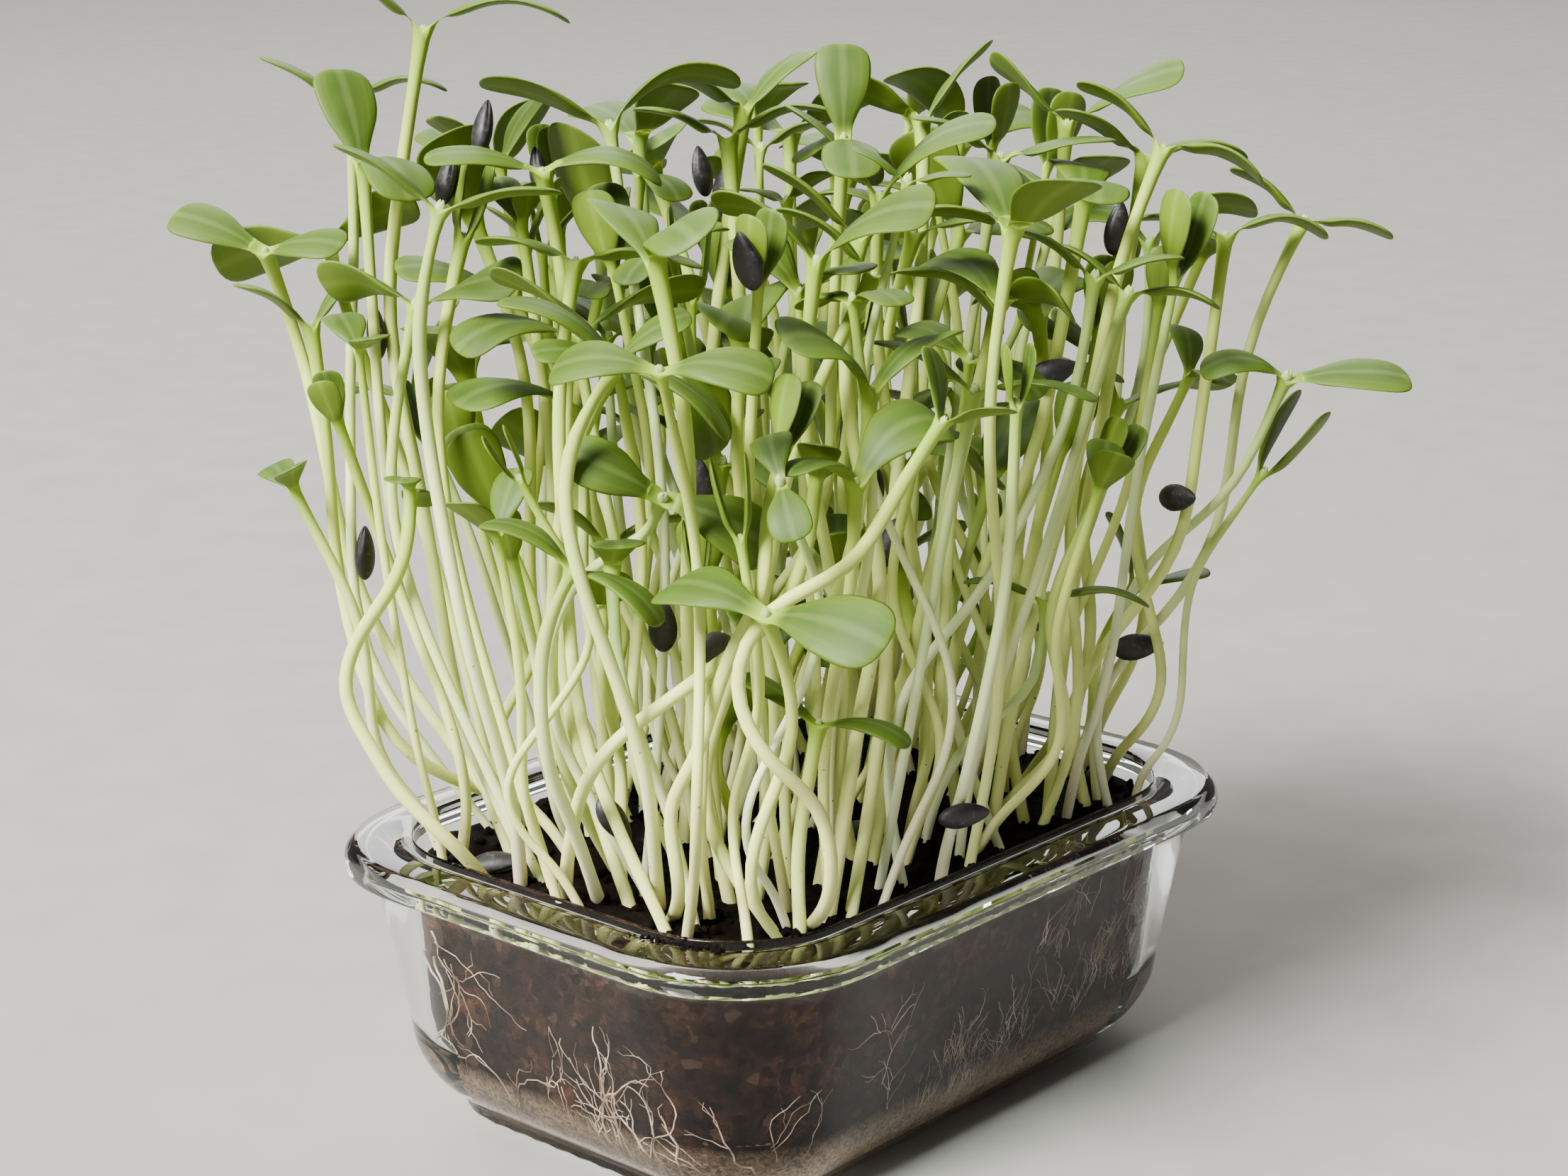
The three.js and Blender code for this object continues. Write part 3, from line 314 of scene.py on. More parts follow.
def on_wall(run, height, gap):
    """The point that far round the dish, counted from its left front corner, at a gap off the glass."""
    run %= GIRTH
    for corner_x, corner_y, way, length in (
            (-CORE_X, -CORE_Y, 270, FACE_X), (CORE_X, -CORE_Y, 0, FACE_Y),
            (CORE_X, CORE_Y, 90, FACE_X), (-CORE_X, CORE_Y, 180, FACE_Y)):
        if run < length:
            angle = math.radians(way)
            ahead = Vector((-math.sin(angle), math.cos(angle), 0)) * run
            break
        run -= length
        if run < ARC:
            start = math.radians(way)
            angle = start + run / CORE_RADIUS
            ahead = Vector((-math.sin(start), math.cos(start), 0)) * length
            break
        run -= ARC
    out = Vector((math.cos(angle), math.sin(angle), 0))
    inside = Vector((corner_x, corner_y, height)) + ahead
    hit, normal, _, _ = dish_skin.ray_cast(inside, out)
    return hit + normal * gap


def grow_root(run, height, aim, length, radius, forks):
    """Lays one root along the glass, and the side roots that leave it."""
    steps = max(3, round(length / ROOT_STEP))
    heading = aim
    curl = draw.gauss(0, 0.03 + 0.25 * radius / MM)
    path = []
    for step in range(steps):
        if not ROOT_FLOOR < height < ROOT_TOP:
            break
        here = radius * (1 - ROOT_TAPER * step / steps)
        spot = on_wall(run, height, -INTO_GLASS)
        path.append((on_wall(run, height, here + DRY_GAP) if is_dry(spot) else spot, here))
        if step > 1 and draw.random() < forks:
            aside = draw.choice((-1, 1)) * draw.uniform(0.4, 0.9)
            side_length = length * draw.uniform(0.25, 0.5)
            grow_root(run, height, heading + aside, side_length, here * 0.7, forks * 0.6)
        aim += curl
        heading += (aim - heading) * STRAIGHTENING + draw.gauss(0, KINK)
        run += ROOT_STEP * math.cos(heading)
        height += ROOT_STEP * math.sin(heading)
    if len(path) > 2:
        root_paths.append(path)


def lay_tubes(paths, name):
    """One mesh of thin tapering tubes along paths of (point, radius)."""
    tubes = bpy.data.curves.new(name, "CURVE")
    tubes.dimensions = "3D"
    tubes.bevel_depth = 1
    tubes.bevel_resolution = 0
    tubes.use_fill_caps = True
    for path in paths:
        spline = tubes.splines.new("POLY")
        spline.points.add(len(path) - 1)
        for point, (spot, radius) in zip(spline.points, path):
            point.co = (*spot, 1)
            point.radius = radius
    net = add_object(name, tubes)
    stand_alone(net)
    bpy.ops.object.convert(target="MESH")
    bpy.ops.object.shade_smooth()
    return net


root_paths = []
FAR_LEFT, PAST_RIGHT = -FACE_Y - 2 * ARC, FACE_X + ARC
# stretch of wall, clusters, roots in each, lowest and highest start, heading, spread, length, radius
# and forks a step, in mm and radians
for low, high, clusters, count, under, over, heading, spread, length, radius, forks in (
        (-101, -84, 4, 2, 34, 48, -1.3, 0.15, 28, 0.24, 0.1),
        (-78, -76, 1, 3, 9, 11, 1.6, 0.35, 22, 0.36, 0.25),
        (-74, -56, 5, 2, 18, 38, -1.3, 0.2, 13, 0.15, 0.08),
        (-52, -28, 6, 2, 9, 11, 1.6, 0.4, 27, 0.4, 0.26),
        (-19, -17, 1, 2, 9, 11, 1.6, 0.3, 26, 0.3, 0.22),
        (-14, 30, 9, 2, 12, 40, 1.2, 0.4, 15, 0.12, 0.1),
        (30, 64, 13, 7, 9, 24, 1.4, 0.25, 13, 0.13, 0.12),
        (64, 108, 16, 7, 12, 44, 1.35, 0.3, 14, 0.12, 0.1),
        (PAST_RIGHT / MM, (GIRTH + FAR_LEFT) / MM, 26, 6, 9, 40, 1.5, 0.4, 18, 0.18, 0.16)):
    for _ in range(clusters):
        middle, base = draw.uniform(low, high), draw.uniform(under, over)
        for _ in range(count):
            start, level = draw.gauss(middle, 2), base + draw.uniform(-2, 2)
            grow_root(start * MM, max(level, 9) * MM, draw.gauss(heading, spread),
                      length * draw.uniform(0.5, 1.25) * MM, radius * draw.uniform(0.7, 1.3) * MM, forks)
net = lay_tubes(root_paths, "branching_roots")

# Living root tissue: tan with brown stain where the soil clings, and cream where it is clean.
root_skin, tree, shader, place = new_finish("living_root_tissue_moist")
stain = add_node(tree, "TexNoise", {"Vector": place, "Scale": 1 / (6 * MM), "Detail": 4.0})
cream = add_node(tree, "ValToRGB", {"Fac": stain}, stops=[
    (0.35, "#4b392c"), (0.68, "#b8a28a"), (0.5, "#7f6855")])
hairs = add_node(tree, "TexNoise", {"Vector": place, "Scale": 1 / (0.5 * MM), "Detail": 2.0})
hairy = add_node(tree, "Bump", {"Height": hairs, "Strength": 0.3, "Distance": 0.1 * MM})
wet = add_node(tree, "MapRange", {"Value": stain, "To Min": 0.3, "To Max": 0.7})
set_inputs(shader, {"Base Color": cream, "Roughness": wet, "Normal": hairy})

wear(net, root_skin)
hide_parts("wall_roots")

# ---- Sunflower seedlings ----
# Sunflower shoots ten days old: a juicy pale stem 3 mm thick that forks into two fleshy seed leaves.
# The CAD bunches are their cages: the soil plug is cut off each, the stems are let into the soil, and
# a smooth skin is drawn through what is left. Each leaf then gets the furrow of its midrib.

PLUG_DEPTH, PLUG_SLACK, FOOT_DEPTH = 13 * MM, 0.02 * MM, 2.5 * MM
# how far along a leaf its four cage rings are, and how much wider the first and the last get
LEAF_STATIONS = (0.9, 0.69, 0.45, 0.2)
BLUNTING, BASE_WIDENING = 0.18, 0.3
FURROW_DEPTH, FURROW_WIDTH = 0.3 * MM, 0.22
BLADE_SWELL, BLADE_WAVE = 0.22, 7 * MM
STEM_SLIMMING = 0.4 * MM


def cut_off_plug(piece):
    """Leaves only the stems and leaves of a bunch, each stem closed a little below the soil."""
    bpy.ops.mesh.select_all(action="DESELECT")
    cage = bmesh.from_edit_mesh(piece.data)
    plug_top = min(corner.co.z for corner in cage.verts) + PLUG_DEPTH + PLUG_SLACK
    for face in cage.faces:
        face.select = all(corner.co.z < plug_top for corner in face.verts)
    bpy.ops.mesh.delete(type="FACE")
    cage = bmesh.from_edit_mesh(piece.data)
    for face in cage.faces:
        face.select = True
    tips = [corner for corner in cage.verts
            if len(corner.link_edges) == len(corner.link_faces) == 4 and not corner.is_boundary]
    for face in (face for tip in tips for face in tip.link_faces):
        face.select = False
    bpy.ops.mesh.tris_convert_to_quads(face_threshold=math.radians(60), shape_threshold=ANY_ANGLE)
    bpy.ops.mesh.select_mode(type="EDGE")
    bpy.ops.mesh.select_all(action="DESELECT")
    cage = bmesh.from_edit_mesh(piece.data)
    for edge in cage.edges:
        edge.select = edge.is_boundary
    bpy.ops.mesh.extrude_region_move(TRANSFORM_OT_translate={"value": (0, 0, -FOOT_DEPTH)})
    bpy.ops.mesh.select_all(action="SELECT")
    bpy.ops.mesh.fill_holes(sides=4)


def beyond(corner, seen):
    """The neighbours of a corner that haven't been walked over yet."""
    return [edge.other_vert(corner) for edge in corner.link_edges if edge.other_vert(corner) not in seen]


def leaf_lines(tip):
    """The four lines of cage corners that run down a leaf from its tip to the fork."""
    lines = [[edge.other_vert(tip)] for edge in tip.link_edges]
    seen = {tip} | {line[0] for line in lines}
    for _ in LEAF_STATIONS:
        for line in lines:
            line.append(beyond(line[-1], seen)[0])
        seen |= {line[-1] for line in lines}
    return lines


def mark_shoots(piece):
    """Writes on each cage corner where it is on its stem or leaf, and returns where the forks are."""
    cage = bmesh.from_edit_mesh(piece.data)
    leaf_layer = cage.verts.layers.float_vector.new("leaf_run")
    stem_layer = cage.verts.layers.float.new("stem_run")
    tone_layer = cage.verts.layers.float.new("shoot_tone")

    def mark(corner, leaf_run, stem_run=1):
        corner[leaf_layer] = leaf_run
        corner[stem_layer] = stem_run
        corner[tone_layer] = tone

    tips = [corner for corner in cage.verts
            if len(corner.link_faces) == 4 and all(len(face.verts) == 3 for face in corner.link_faces)]
    lines_of = {tip: leaf_lines(tip) for tip in tips}
    on_leaves = set(tips) | {
        corner for lines in lines_of.values() for line in lines for corner in line[:-1]}
    ends_of = {tip: {line[-1] for line in lines_of[tip]} for tip in tips}
    forks = []
    while tips:
        first = tips.pop(0)
        second = next(tip for tip in tips if len(ends_of[tip] & ends_of[first]) == 3)
        tips.remove(second)
        shared = ends_of[first] & ends_of[second]
        saddle = next(corner for corner in shared if all(
            other in on_leaves or other in shared for other in beyond(corner, ())))
        tone = draw.random()
        for tip in (first, second):
            middle = next(line for line in lines_of[tip] if line[-1] is saddle)
            beside = [line for line in lines_of[tip]
                      if line is not middle and line[0] in beyond(middle[0], ())]
            for line in lines_of[tip]:
                upper = 1 if line is middle else 0.5 if line in beside else 0
                across = (-1 if line is beside[0] else 1) if line in beside else 0
                for corner, along in zip(line, LEAF_STATIONS):
                    mark(corner, (across, along, upper))
            for station, widening in ((0, BLUNTING), (3, BASE_WIDENING)):
                one, other = (line[station] for line in beside)
                width = one.co - other.co
                one.co += width * widening
                other.co -= width * widening
            mark(tip, (0, 1, 0.5))
        ring = (ends_of[first] | ends_of[second]) - {saddle}
        middle_of_fork = sum((corner.co for corner in ring), Vector()) / len(ring)
        rings = [ring]
        seen = set(on_leaves) | ring | {saddle}
        while rings[-1]:
            rings.append({other for corner in rings[-1] for other in beyond(corner, seen)})
            seen |= rings[-1]
        rings.pop()
        for count, ring in enumerate(rings):
            for corner in ring:
                mark(corner, (0, 0, 0), 1 - count / (len(rings) - 1))
        mark(saddle, (0, 0, 1))
        rise = middle_of_fork - sum((corner.co for corner in rings[1]), Vector()) / len(rings[1])
        forks.append((saddle.co.copy(), rise.normalized(), (first.co - second.co).normalized(), tone))
    return forks


def crease_leaves(piece, slimming):
    """Presses the midrib's furrow into each leaf, lets the blades undulate, and slims the stems."""
    count = len(piece.data.vertices)
    runs, tones = np.empty(count * 3), np.empty(count)
    piece.data.attributes["leaf_run"].data.foreach_get("vector", runs)
    piece.data.attributes["shoot_tone"].data.foreach_get("value", tones)
    normals = [corner.normal.copy() for corner in piece.data.vertices]
    for corner, normal, (across, along, upper), tone in zip(
            piece.data.vertices, normals, runs.reshape(-1, 3), tones):
        if along <= 0:
            corner.co -= normal * slimming * tone
            continue
        reach = math.sin(min(1.0, along / 0.95) * math.pi) ** 0.5
        furrow = math.exp(-(across / FURROW_WIDTH) ** 2) * reach
        keel = furrow * 0.5 if upper < 0.4 else 0
        depth = furrow if upper > 0.6 else 0
        swell = BLADE_SWELL * reach * noise.noise(corner.co / BLADE_WAVE)
        corner.co += normal * ((keel - depth) * FURROW_DEPTH + swell * MM)
    piece.data.update()


# Sunflower shoot, living: the stem is glassy white low down and turns yellow-green towards the
# fork, and at its very foot it darkens to tan, partly its own colour and partly painted shade where
# the crowd shades the feet. The leaves are a matt mid green with a grey bloom, a paler midrib and
# faint long veins, and light that comes through them is yellow.
shoot_skin, tree, shader, place = new_finish("sunflower_shoot_living")
leaf_run = add_node(tree, "Attribute", attribute_name="leaf_run").outputs["Vector"]
across, along, upper = add_node(tree, "SeparateXYZ", {"Vector": leaf_run}).outputs
stem_run = add_node(tree, "Attribute", attribute_name="stem_run").outputs["Fac"]
tone = add_node(tree, "Attribute", attribute_name="shoot_tone").outputs["Fac"]
mottle = add_node(tree, "TexNoise", {"Vector": place, "Scale": 1 / (5 * MM), "Detail": 4.0})
# at the very foot both ramps fall to a darker tan: partly the stems' own colour, partly painted shade from
# the crowd over the feet
yellowish = add_node(tree, "ValToRGB", {"Fac": stem_run}, stops=[
    (0.0, "#bfb184"), (1.0, "#86a12b"), (0.15, "#cccf83"), (0.45, "#cdd87e"), (0.8, "#b9ca5f")])
whitish = add_node(tree, "ValToRGB", {"Fac": stem_run}, stops=[
    (0.0, "#c3b39c"), (1.0, "#84a036"), (0.2, "#d3d8b4"), (0.6, "#ccda9c")])
paleness = add_node(tree, "MapRange", {"Value": tone, "From Min": 0.65, "From Max": 0.95})
stem_colour = add_node(tree, "MixRGB", {"Fac": paleness, "Color1": yellowish, "Color2": whitish})
greener = add_node(tree, "MixRGB", {
    "Fac": tone, "Color1": linear("#33490a"), "Color2": linear("#20370e")})
leaf_top = add_node(tree, "MixRGB", {"Fac": mottle, "Color1": greener, "Color2": linear("#38500d")})
leaf_green = add_node(tree, "MixRGB", {"Fac": upper, "Color1": linear("#5f7613"), "Color2": leaf_top})
off_rib = add_node(tree, "Math", {0: across}, operation="ABSOLUTE")
rib = add_node(tree, "MapRange", {
    "Value": off_rib, "From Min": 0.02, "From Max": 0.16, "To Min": 0.1, "To Max": 0.0,
    }, interpolation_type="SMOOTHSTEP")
vein_wave = add_node(tree, "Math", {0: off_rib, 1: 17.0}, operation="MULTIPLY")
vein_lines = add_node(tree, "Math", {0: vein_wave}, operation="SINE")
veins = add_node(tree, "MapRange", {"Value": vein_lines, "From Min": 0.6, "From Max": 1.0, "To Max": 0.02})
ribbed = add_node(tree, "Math", {0: rib, 1: veins}, operation="MAXIMUM")
veined = add_node(tree, "MixRGB", {"Fac": ribbed, "Color1": leaf_green, "Color2": linear("#a3b65c")})
blade = add_node(tree, "MapRange", {
    "Value": along, "From Min": 0.0, "From Max": 0.2}, interpolation_type="SMOOTHSTEP")
grown = add_node(tree, "MixRGB", {"Fac": blade, "Color1": stem_colour, "Color2": veined})
fine = add_node(tree, "TexNoise", {"Vector": place, "Scale": 1 / (0.7 * MM), "Detail": 3.0})
bloom = add_node(tree, "MapRange", {"Value": mottle, "To Min": 0.5, "To Max": 0.68})
pitted = add_node(tree, "Bump", {"Height": fine, "Strength": 0.12, "Distance": 0.15 * MM})
raised = add_node(tree, "Bump", {
    "Height": ribbed, "Normal": pitted, "Strength": 0.15, "Distance": -0.15 * MM})
speck_cells = add_node(tree, "TexVoronoi", {"Vector": place, "Scale": 1 / (3.2 * MM)})
speck_size = add_node(tree, "SeparateColor", {"Color": speck_cells.outputs["Color"]}).outputs["Green"]
speck_edge = add_node(tree, "Math", {0: speck_size, 1: 0.11}, operation="MULTIPLY")
in_speck = add_node(tree, "Math", {0: speck_cells, 1: speck_edge}, operation="LESS_THAN")
low_down = add_node(tree, "MapRange", {
    "Value": stem_run, "From Min": 0.1, "From Max": 0.7, "To Min": 1.0, "To Max": 0.0})
specks = add_node(tree, "Math", {0: in_speck, 1: low_down}, operation="MULTIPLY")
speckled = add_node(tree, "MixRGB", {"Fac": specks, "Color1": grown, "Color2": linear("#4b3a28")})
set_inputs(shader, {
    "Base Color": speckled, "Roughness": bloom, "Normal": raised, "Subsurface Weight": 0.15,
    "Subsurface Radius": (0.75, 1.0, 0.2), "Subsurface Scale": 1.6 * MM, "Specular IOR Level": 0.3})

forks = []
standing = []
for node_name in sorted(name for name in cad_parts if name.startswith("seedlings_")):
    shoots = open_copy(node_name, node_name.replace("seedlings", "sunflower_shoots"))
    cut_off_plug(shoots)
    forks += mark_shoots(shoots)
    bpy.ops.object.mode_set(mode="OBJECT")
    round_off(shoots, levels=2)
    crease_leaves(shoots, STEM_SLIMMING)
    wear(shoots, shoot_skin)
    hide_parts(node_name)
    standing.append(shoots)

# ---- Thinner shoots in the crowd ----
# Later, thinner shoots that fill the crowd between the others, 2 to 3 mm thick and much bent.
# One straight shoot is extruded from a square for each way that its leaves open, and each copy of it
# is bent along a path of its own that keeps clear of all that already stands there. The first few
# are told: they curve across the front, or hold large leaves out over it.

THIN_SHOOTS, THIN_TRIES = 110, 70
THIN_RADIUS, THIN_SEGMENTS, THIN_LEAF = 1.15 * MM, 9, 17 * MM
THIN_SLIMMING = 0.1 * MM
LEAF_HALF_WIDTH, LEAF_HALF_THICKNESS = 0.28, 0.7 * MM
FORK_REACH, FORK_RISE, SADDLE_RISE = 0.9 * MM, 0.5 * MM, 0.9 * MM
# how each model's two leaves open: how steep they start and how steep they end, in degrees
OPENINGS = ((35, 95), (60, 125), (28, 62), (14, 2), (48, 88))
CURVE_STEPS, PATH_STEPS = 12, 4
# the room that stems and leaves keep from the bunches and the dish, and from other thin shoots
ROOM_BETWEEN, LEAF_ROOM = 0.25 * MM, 1.0 * MM
THIN_STEM_ROOM, THIN_LEAF_ROOM = 1.6 * MM, 2.2 * MM
RIM_REACH = 70 * MM
PAST_CAD = 9 * MM
# things are dropped from one height, in mm, and what lands too low isn't on the top of the soil
DROP_HEIGHT, LOWEST_LANDING = 90, 54 * MM
# the ranges that a chance shoot is drawn from: height, lean, and two bends in its stem, in mm
HEIGHTS, LEANS, LOW_BENDS, HIGH_BENDS = (70, 150), (0.0, 0.4), (5, 19), (2, 12)
LEAF_SIZES, GIRTHS = (0.7, 1.35), (0.85, 1.15)
TOLD_TRIES, TOLD_SHIFT, TOLD_SLACK = 500, 13, 2.5
TOLD_GIRTH, TOLD_TWIST = 1.3, 60
UP, DOWN = Vector((0, 0, 1)), Vector((0, 0, -1))
ROUTE_TURN = Matrix.Rotation(math.radians(-48.4), 3, "Z")
# each told shoot: how its leaves open, which way in degrees, their size, and its way from its foot to
# its fork: across the view, back in depth, and up, in mm. One that finds no room is left out.
TOLD_SHOOTS = (
    (0, 20, 0.9, ((-48, -44, 57), (-47, -58, 76), (-38, -68, 96), (-22, -74, 113), (-6, -75, 125),
                  (3, -74, 138), (6, -70, 152))),
    (2, 60, 0.9, ((-2, -56, 57), (-2, -72, 71), (-7, -74, 88), (-15, -78, 101), (-22, -78, 112),
                  (-21, -78, 126), (-11, -76, 136), (0, -74, 141), (9, -70, 150), (14, -66, 166))),
    (3, 0, 0.9, ((-25, -56, 57), (-24, -70, 69), (-25, -74, 86), (-20, -78, 99), (-11, -80, 121),
                 (-8, -80, 133), (-4, -76, 146), (-2, -72, 159))),
    (1, 40, 0.8, ((-66, -31, 57), (-71, -42, 67), (-82, -42, 78), (-92, -40, 90), (-95, -38, 103),
                  (-91, -38, 116), (-84, -36, 127), (-79, -34, 142))),
    (1, -45, 1.5, ((-29, -52, 57), (-29, -66, 72), (-32, -76, 95), (-36, -79, 115), (-41, -80, 136),
                   (-42, -80, 154), (-40, -80, 168), (-35, -79, 177))),
    (1, -30, 1.3, ((-22, -55, 57), (-22, -68, 75), (-28, -77, 100), (-32, -83, 125), (-27, -84, 142),
                   (-25, -83, 153))),
    (1, -60, 1.2, ((-40, -48, 57), (-44, -60, 75), (-50, -72, 100), (-49, -78, 122), (-43, -79, 137))),
    (4, -50, 1.4, ((-58, -38, 57), (-60, -48, 80), (-66, -56, 120), (-70, -58, 160), (-71, -58, 185),
                   (-70, -58, 203))))
# share of the leaf's length, of its half width and of its thickness
LEAF_RINGS = ((0.2, 0.26, 1.1), (0.45, 0.84, 1), (0.69, 1, 0.95), (0.9, 0.66, 0.75), (1, 0, 0))


def leaf_ring(way, root, tip, share, wide, thick):
    """The four corners of a leaf at a share of its length: under, one side, upper, other side."""
    turn = tip - root
    lean = root + turn * share
    middle = Vector((way * ((math.cos(root) - math.cos(lean)) / turn * THIN_LEAF + FORK_REACH), 0,
                     (math.sin(lean) - math.sin(root)) / turn * THIN_LEAF + FORK_RISE))
    over = Vector((-way * math.cos(lean), 0, math.sin(lean)))
    beside = Vector((0, way, 0)) * THIN_LEAF * LEAF_HALF_WIDTH * wide
    half = over * LEAF_HALF_THICKNESS * thick
    return middle - half, middle + beside, middle + half, middle - beside


def model_thin_shoot(root, tip):
    """A straight cage one metre tall: a square stem that forks into two leaves of true size."""
    bpy.ops.mesh.primitive_circle_add(vertices=4, radius=THIN_RADIUS, fill_type="NGON")
    model = bpy.context.object
    bpy.ops.object.mode_set(mode="EDIT")
    bpy.ops.mesh.select_mode(type="FACE")
    bpy.ops.mesh.select_all(action="SELECT")
    for _ in range(THIN_SEGMENTS):
        bpy.ops.mesh.extrude_region_move(TRANSFORM_OT_translate={"value": (0, 0, 1 / THIN_SEGMENTS)})
    cage = bmesh.from_edit_mesh(model.data)
    top = next(face for face in cage.faces if face.select)
    _, front, back, _ = sorted(top.verts, key=lambda corner: corner.co.x)
    seam = bmesh.utils.face_split(top, front, back)[1].edge
    _, saddle = bmesh.utils.edge_split(seam, front, 0.5)
    saddle.co = UP * (1 + SADDLE_RISE)
    bmesh.update_edit_mesh(model.data)
    for way in (1, -1):
        bpy.ops.mesh.select_all(action="DESELECT")
        cage = bmesh.from_edit_mesh(model.data)
        face = max((f for f in cage.faces if len(f.verts) == 4), key=lambda f: (
            f.calc_center_median().z > 0.9999, way * f.calc_center_median().x))
        roles = [0 if abs(corner.co.x) > 0.5 * MM else 2 if corner.co.z > 1 + 0.5 * MM else
                 1 if corner.co.y * way > 0 else 3 for corner in face.verts]
        face.select = True
        for share, wide, thick in LEAF_RINGS:
            bpy.ops.mesh.extrude_region_move(TRANSFORM_OT_translate={"value": (0, 0, 0)})
            cage = bmesh.from_edit_mesh(model.data)
            face = next(f for f in cage.faces if f.select)
            ring = leaf_ring(way, root, tip, share, wide, thick)
            for corner, role in zip(face.verts, roles):
                corner.co = ring[role] + UP
        bmesh.update_edit_mesh(model.data)
        bpy.ops.mesh.merge(type="CENTER")
    bpy.ops.object.mode_set(mode="OBJECT")
    return model


def over_bed(half_length, half_width):
    """A chance spot above the soil, within a reach in mm along it and across it."""
    return Vector((draw.uniform(-half_length, half_length), draw.uniform(-half_width, half_width),
                   DROP_HEIGHT)) * MM


def sideways(lowest, highest):
    """A level step in a chance direction, its length in mm drawn from a range."""
    turn = Matrix.Rotation(draw.uniform(0, 2 * math.pi), 3, "Z")
    return turn @ Vector((draw.uniform(lowest, highest) * MM, 0, 0))


def chance_knots():
    """The knots of a chance shoot, from under the soil to its fork, or None where it can't stand."""
    landed = soil_skin.ray_cast(over_bed(72, 50), DOWN)[0]
    if landed is None or landed.z < LOWEST_LANDING:
        return None
    up = UP * (draw.uniform(*HEIGHTS) * MM)
    outward = Vector((landed.x, landed.y, 0)) * draw.uniform(*LEANS)
    low_bend, high_bend = sideways(*LOW_BENDS), sideways(*HIGH_BENDS)
    return [landed - UP * FOOT_DEPTH, landed + low_bend * 0.35 + up * 0.08,
            landed + low_bend + up * 0.3 + outward * 0.2,
            landed + high_bend + up * 0.66 + outward * 0.6,
            landed + up + outward + (high_bend + low_bend) * 0.4]


def told_knots(route, shift):
    """The knots of a told shoot, its foot in the soil, moved by chance, mostly forwards, up to a shift."""
    whole = Vector((draw.uniform(-1, 1), draw.uniform(-1.2, 0.6), 0)) * shift
    knots = []
    for index, place in enumerate(route):
        loose = Vector((draw.uniform(-1, 1), draw.uniform(-1, 1), 0)) * TOLD_SLACK
        knots.append(ROUTE_TURN @ (Vector(place) + (whole + loose) * min(1, (index + 1) / 3)) * MM)
    landed = soil_skin.ray_cast(knots[0] + UP * (30 * MM), DOWN)[0]
    if landed is None or landed.z < LOWEST_LANDING:
        return None
    return [landed - UP * FOOT_DEPTH, *knots[1:]]


def smooth_path(knots):
    """Evenly spaced points on a smooth curve through the knots."""
    knots = [knots[0] * 2 - knots[1], *knots, knots[-1] * 2 - knots[-2]]
    fine = []
    for before, start, end, after in zip(knots, knots[1:], knots[2:], knots[3:]):
        for step in range(CURVE_STEPS):
            t = step / CURVE_STEPS
            bow = 2 * before - 5 * start + 4 * end - after
            twist = 3 * start - before - 3 * end + after
            fine.append(start + ((end - before) * t + bow * t ** 2 + twist * t ** 3) / 2)
    fine.append(knots[-2])
    runs = [0]
    for start, end in zip(fine, fine[1:]):
        runs.append(runs[-1] + (end - start).length)
    path = []
    for step in range(THIN_SEGMENTS * PATH_STEPS + 1):
        aim = runs[-1] * step / (THIN_SEGMENTS * PATH_STEPS)
        index = min(max(np.searchsorted(runs, aim) - 1, 0), len(fine) - 2)
        share = (aim - runs[index]) / (runs[index + 1] - runs[index])
        path.append(fine[index].lerp(fine[index + 1], share))
    return path


def bend_along(model, path, turn, leaf_size, girth):
    """A copy of the straight cage bent along a path, its leaves turned and sized at its end."""
    mesh = model.data.copy()
    side = Vector((math.cos(turn), math.sin(turn), 0))
    joints = path[::PATH_STEPS]
    frames = []
    for index, joint in enumerate(joints):
        ahead = joints[min(index + 1, THIN_SEGMENTS)] - joints[max(index - 1, 0)]
        ahead = UP if index == 0 else ahead.normalized()
        side = (side - ahead * side.dot(ahead)).normalized()
        frames.append((joint, side, ahead.cross(side), ahead))
    for number, corner in enumerate(mesh.vertices):
        on_stem = number < 4 * (THIN_SEGMENTS + 1)
        index = round(corner.co.z * THIN_SEGMENTS) if on_stem else THIN_SEGMENTS
        joint, side, cross, ahead = frames[index]
        size = girth if on_stem else leaf_size
        above = 0 if on_stem else (corner.co.z - 1) * size
        corner.co = joint + side * corner.co.x * size + cross * corner.co.y * size + ahead * above
    return mesh


def leaf_spots(mesh):
    """The corners, the middles of the edges and the middles of the faces of a bent shoot's leaves."""
    first = 4 * (THIN_SEGMENTS + 1)
    corners = [corner.co.copy() for corner in mesh.vertices]
    middles = [(corners[one] + corners[other]) / 2
               for one, other in mesh.edge_keys if min(one, other) >= first]
    faces = [face.center.copy() for face in mesh.polygons if min(face.vertices) >= first]
    return corners[first:] + middles + faces


def has_room(path, leaves, radius):
    """True if a bent shoot keeps clear of the dish and of all that already stands on the soil."""
    for spot in path[1:]:
        if crowd_skin.find_nearest(spot)[3] < radius + ROOM_BETWEEN:
            return False
        if spot.z < RIM_REACH and dish_skin.find_nearest(spot)[3] < radius + ROOM_BETWEEN:
            return False
    for spot in leaves:
        if any(value < low - PAST_CAD or value > high + PAST_CAD
               for low, value, high in zip(cad_low, spot, cad_high)):
            return False
        if crowd_skin.find_nearest(spot)[3] < LEAF_ROOM:
            return False
    if not thin_spots:
        return True
    nearby = KDTree(len(thin_spots))
    for index, spot in enumerate(thin_spots):
        nearby.insert(spot, index)
    nearby.balance()
    return all(nearby.find(spot)[2] > radius + THIN_STEM_ROOM for spot in path[1:]) and all(
        nearby.find(spot)[2] > THIN_LEAF_ROOM for spot in leaves)


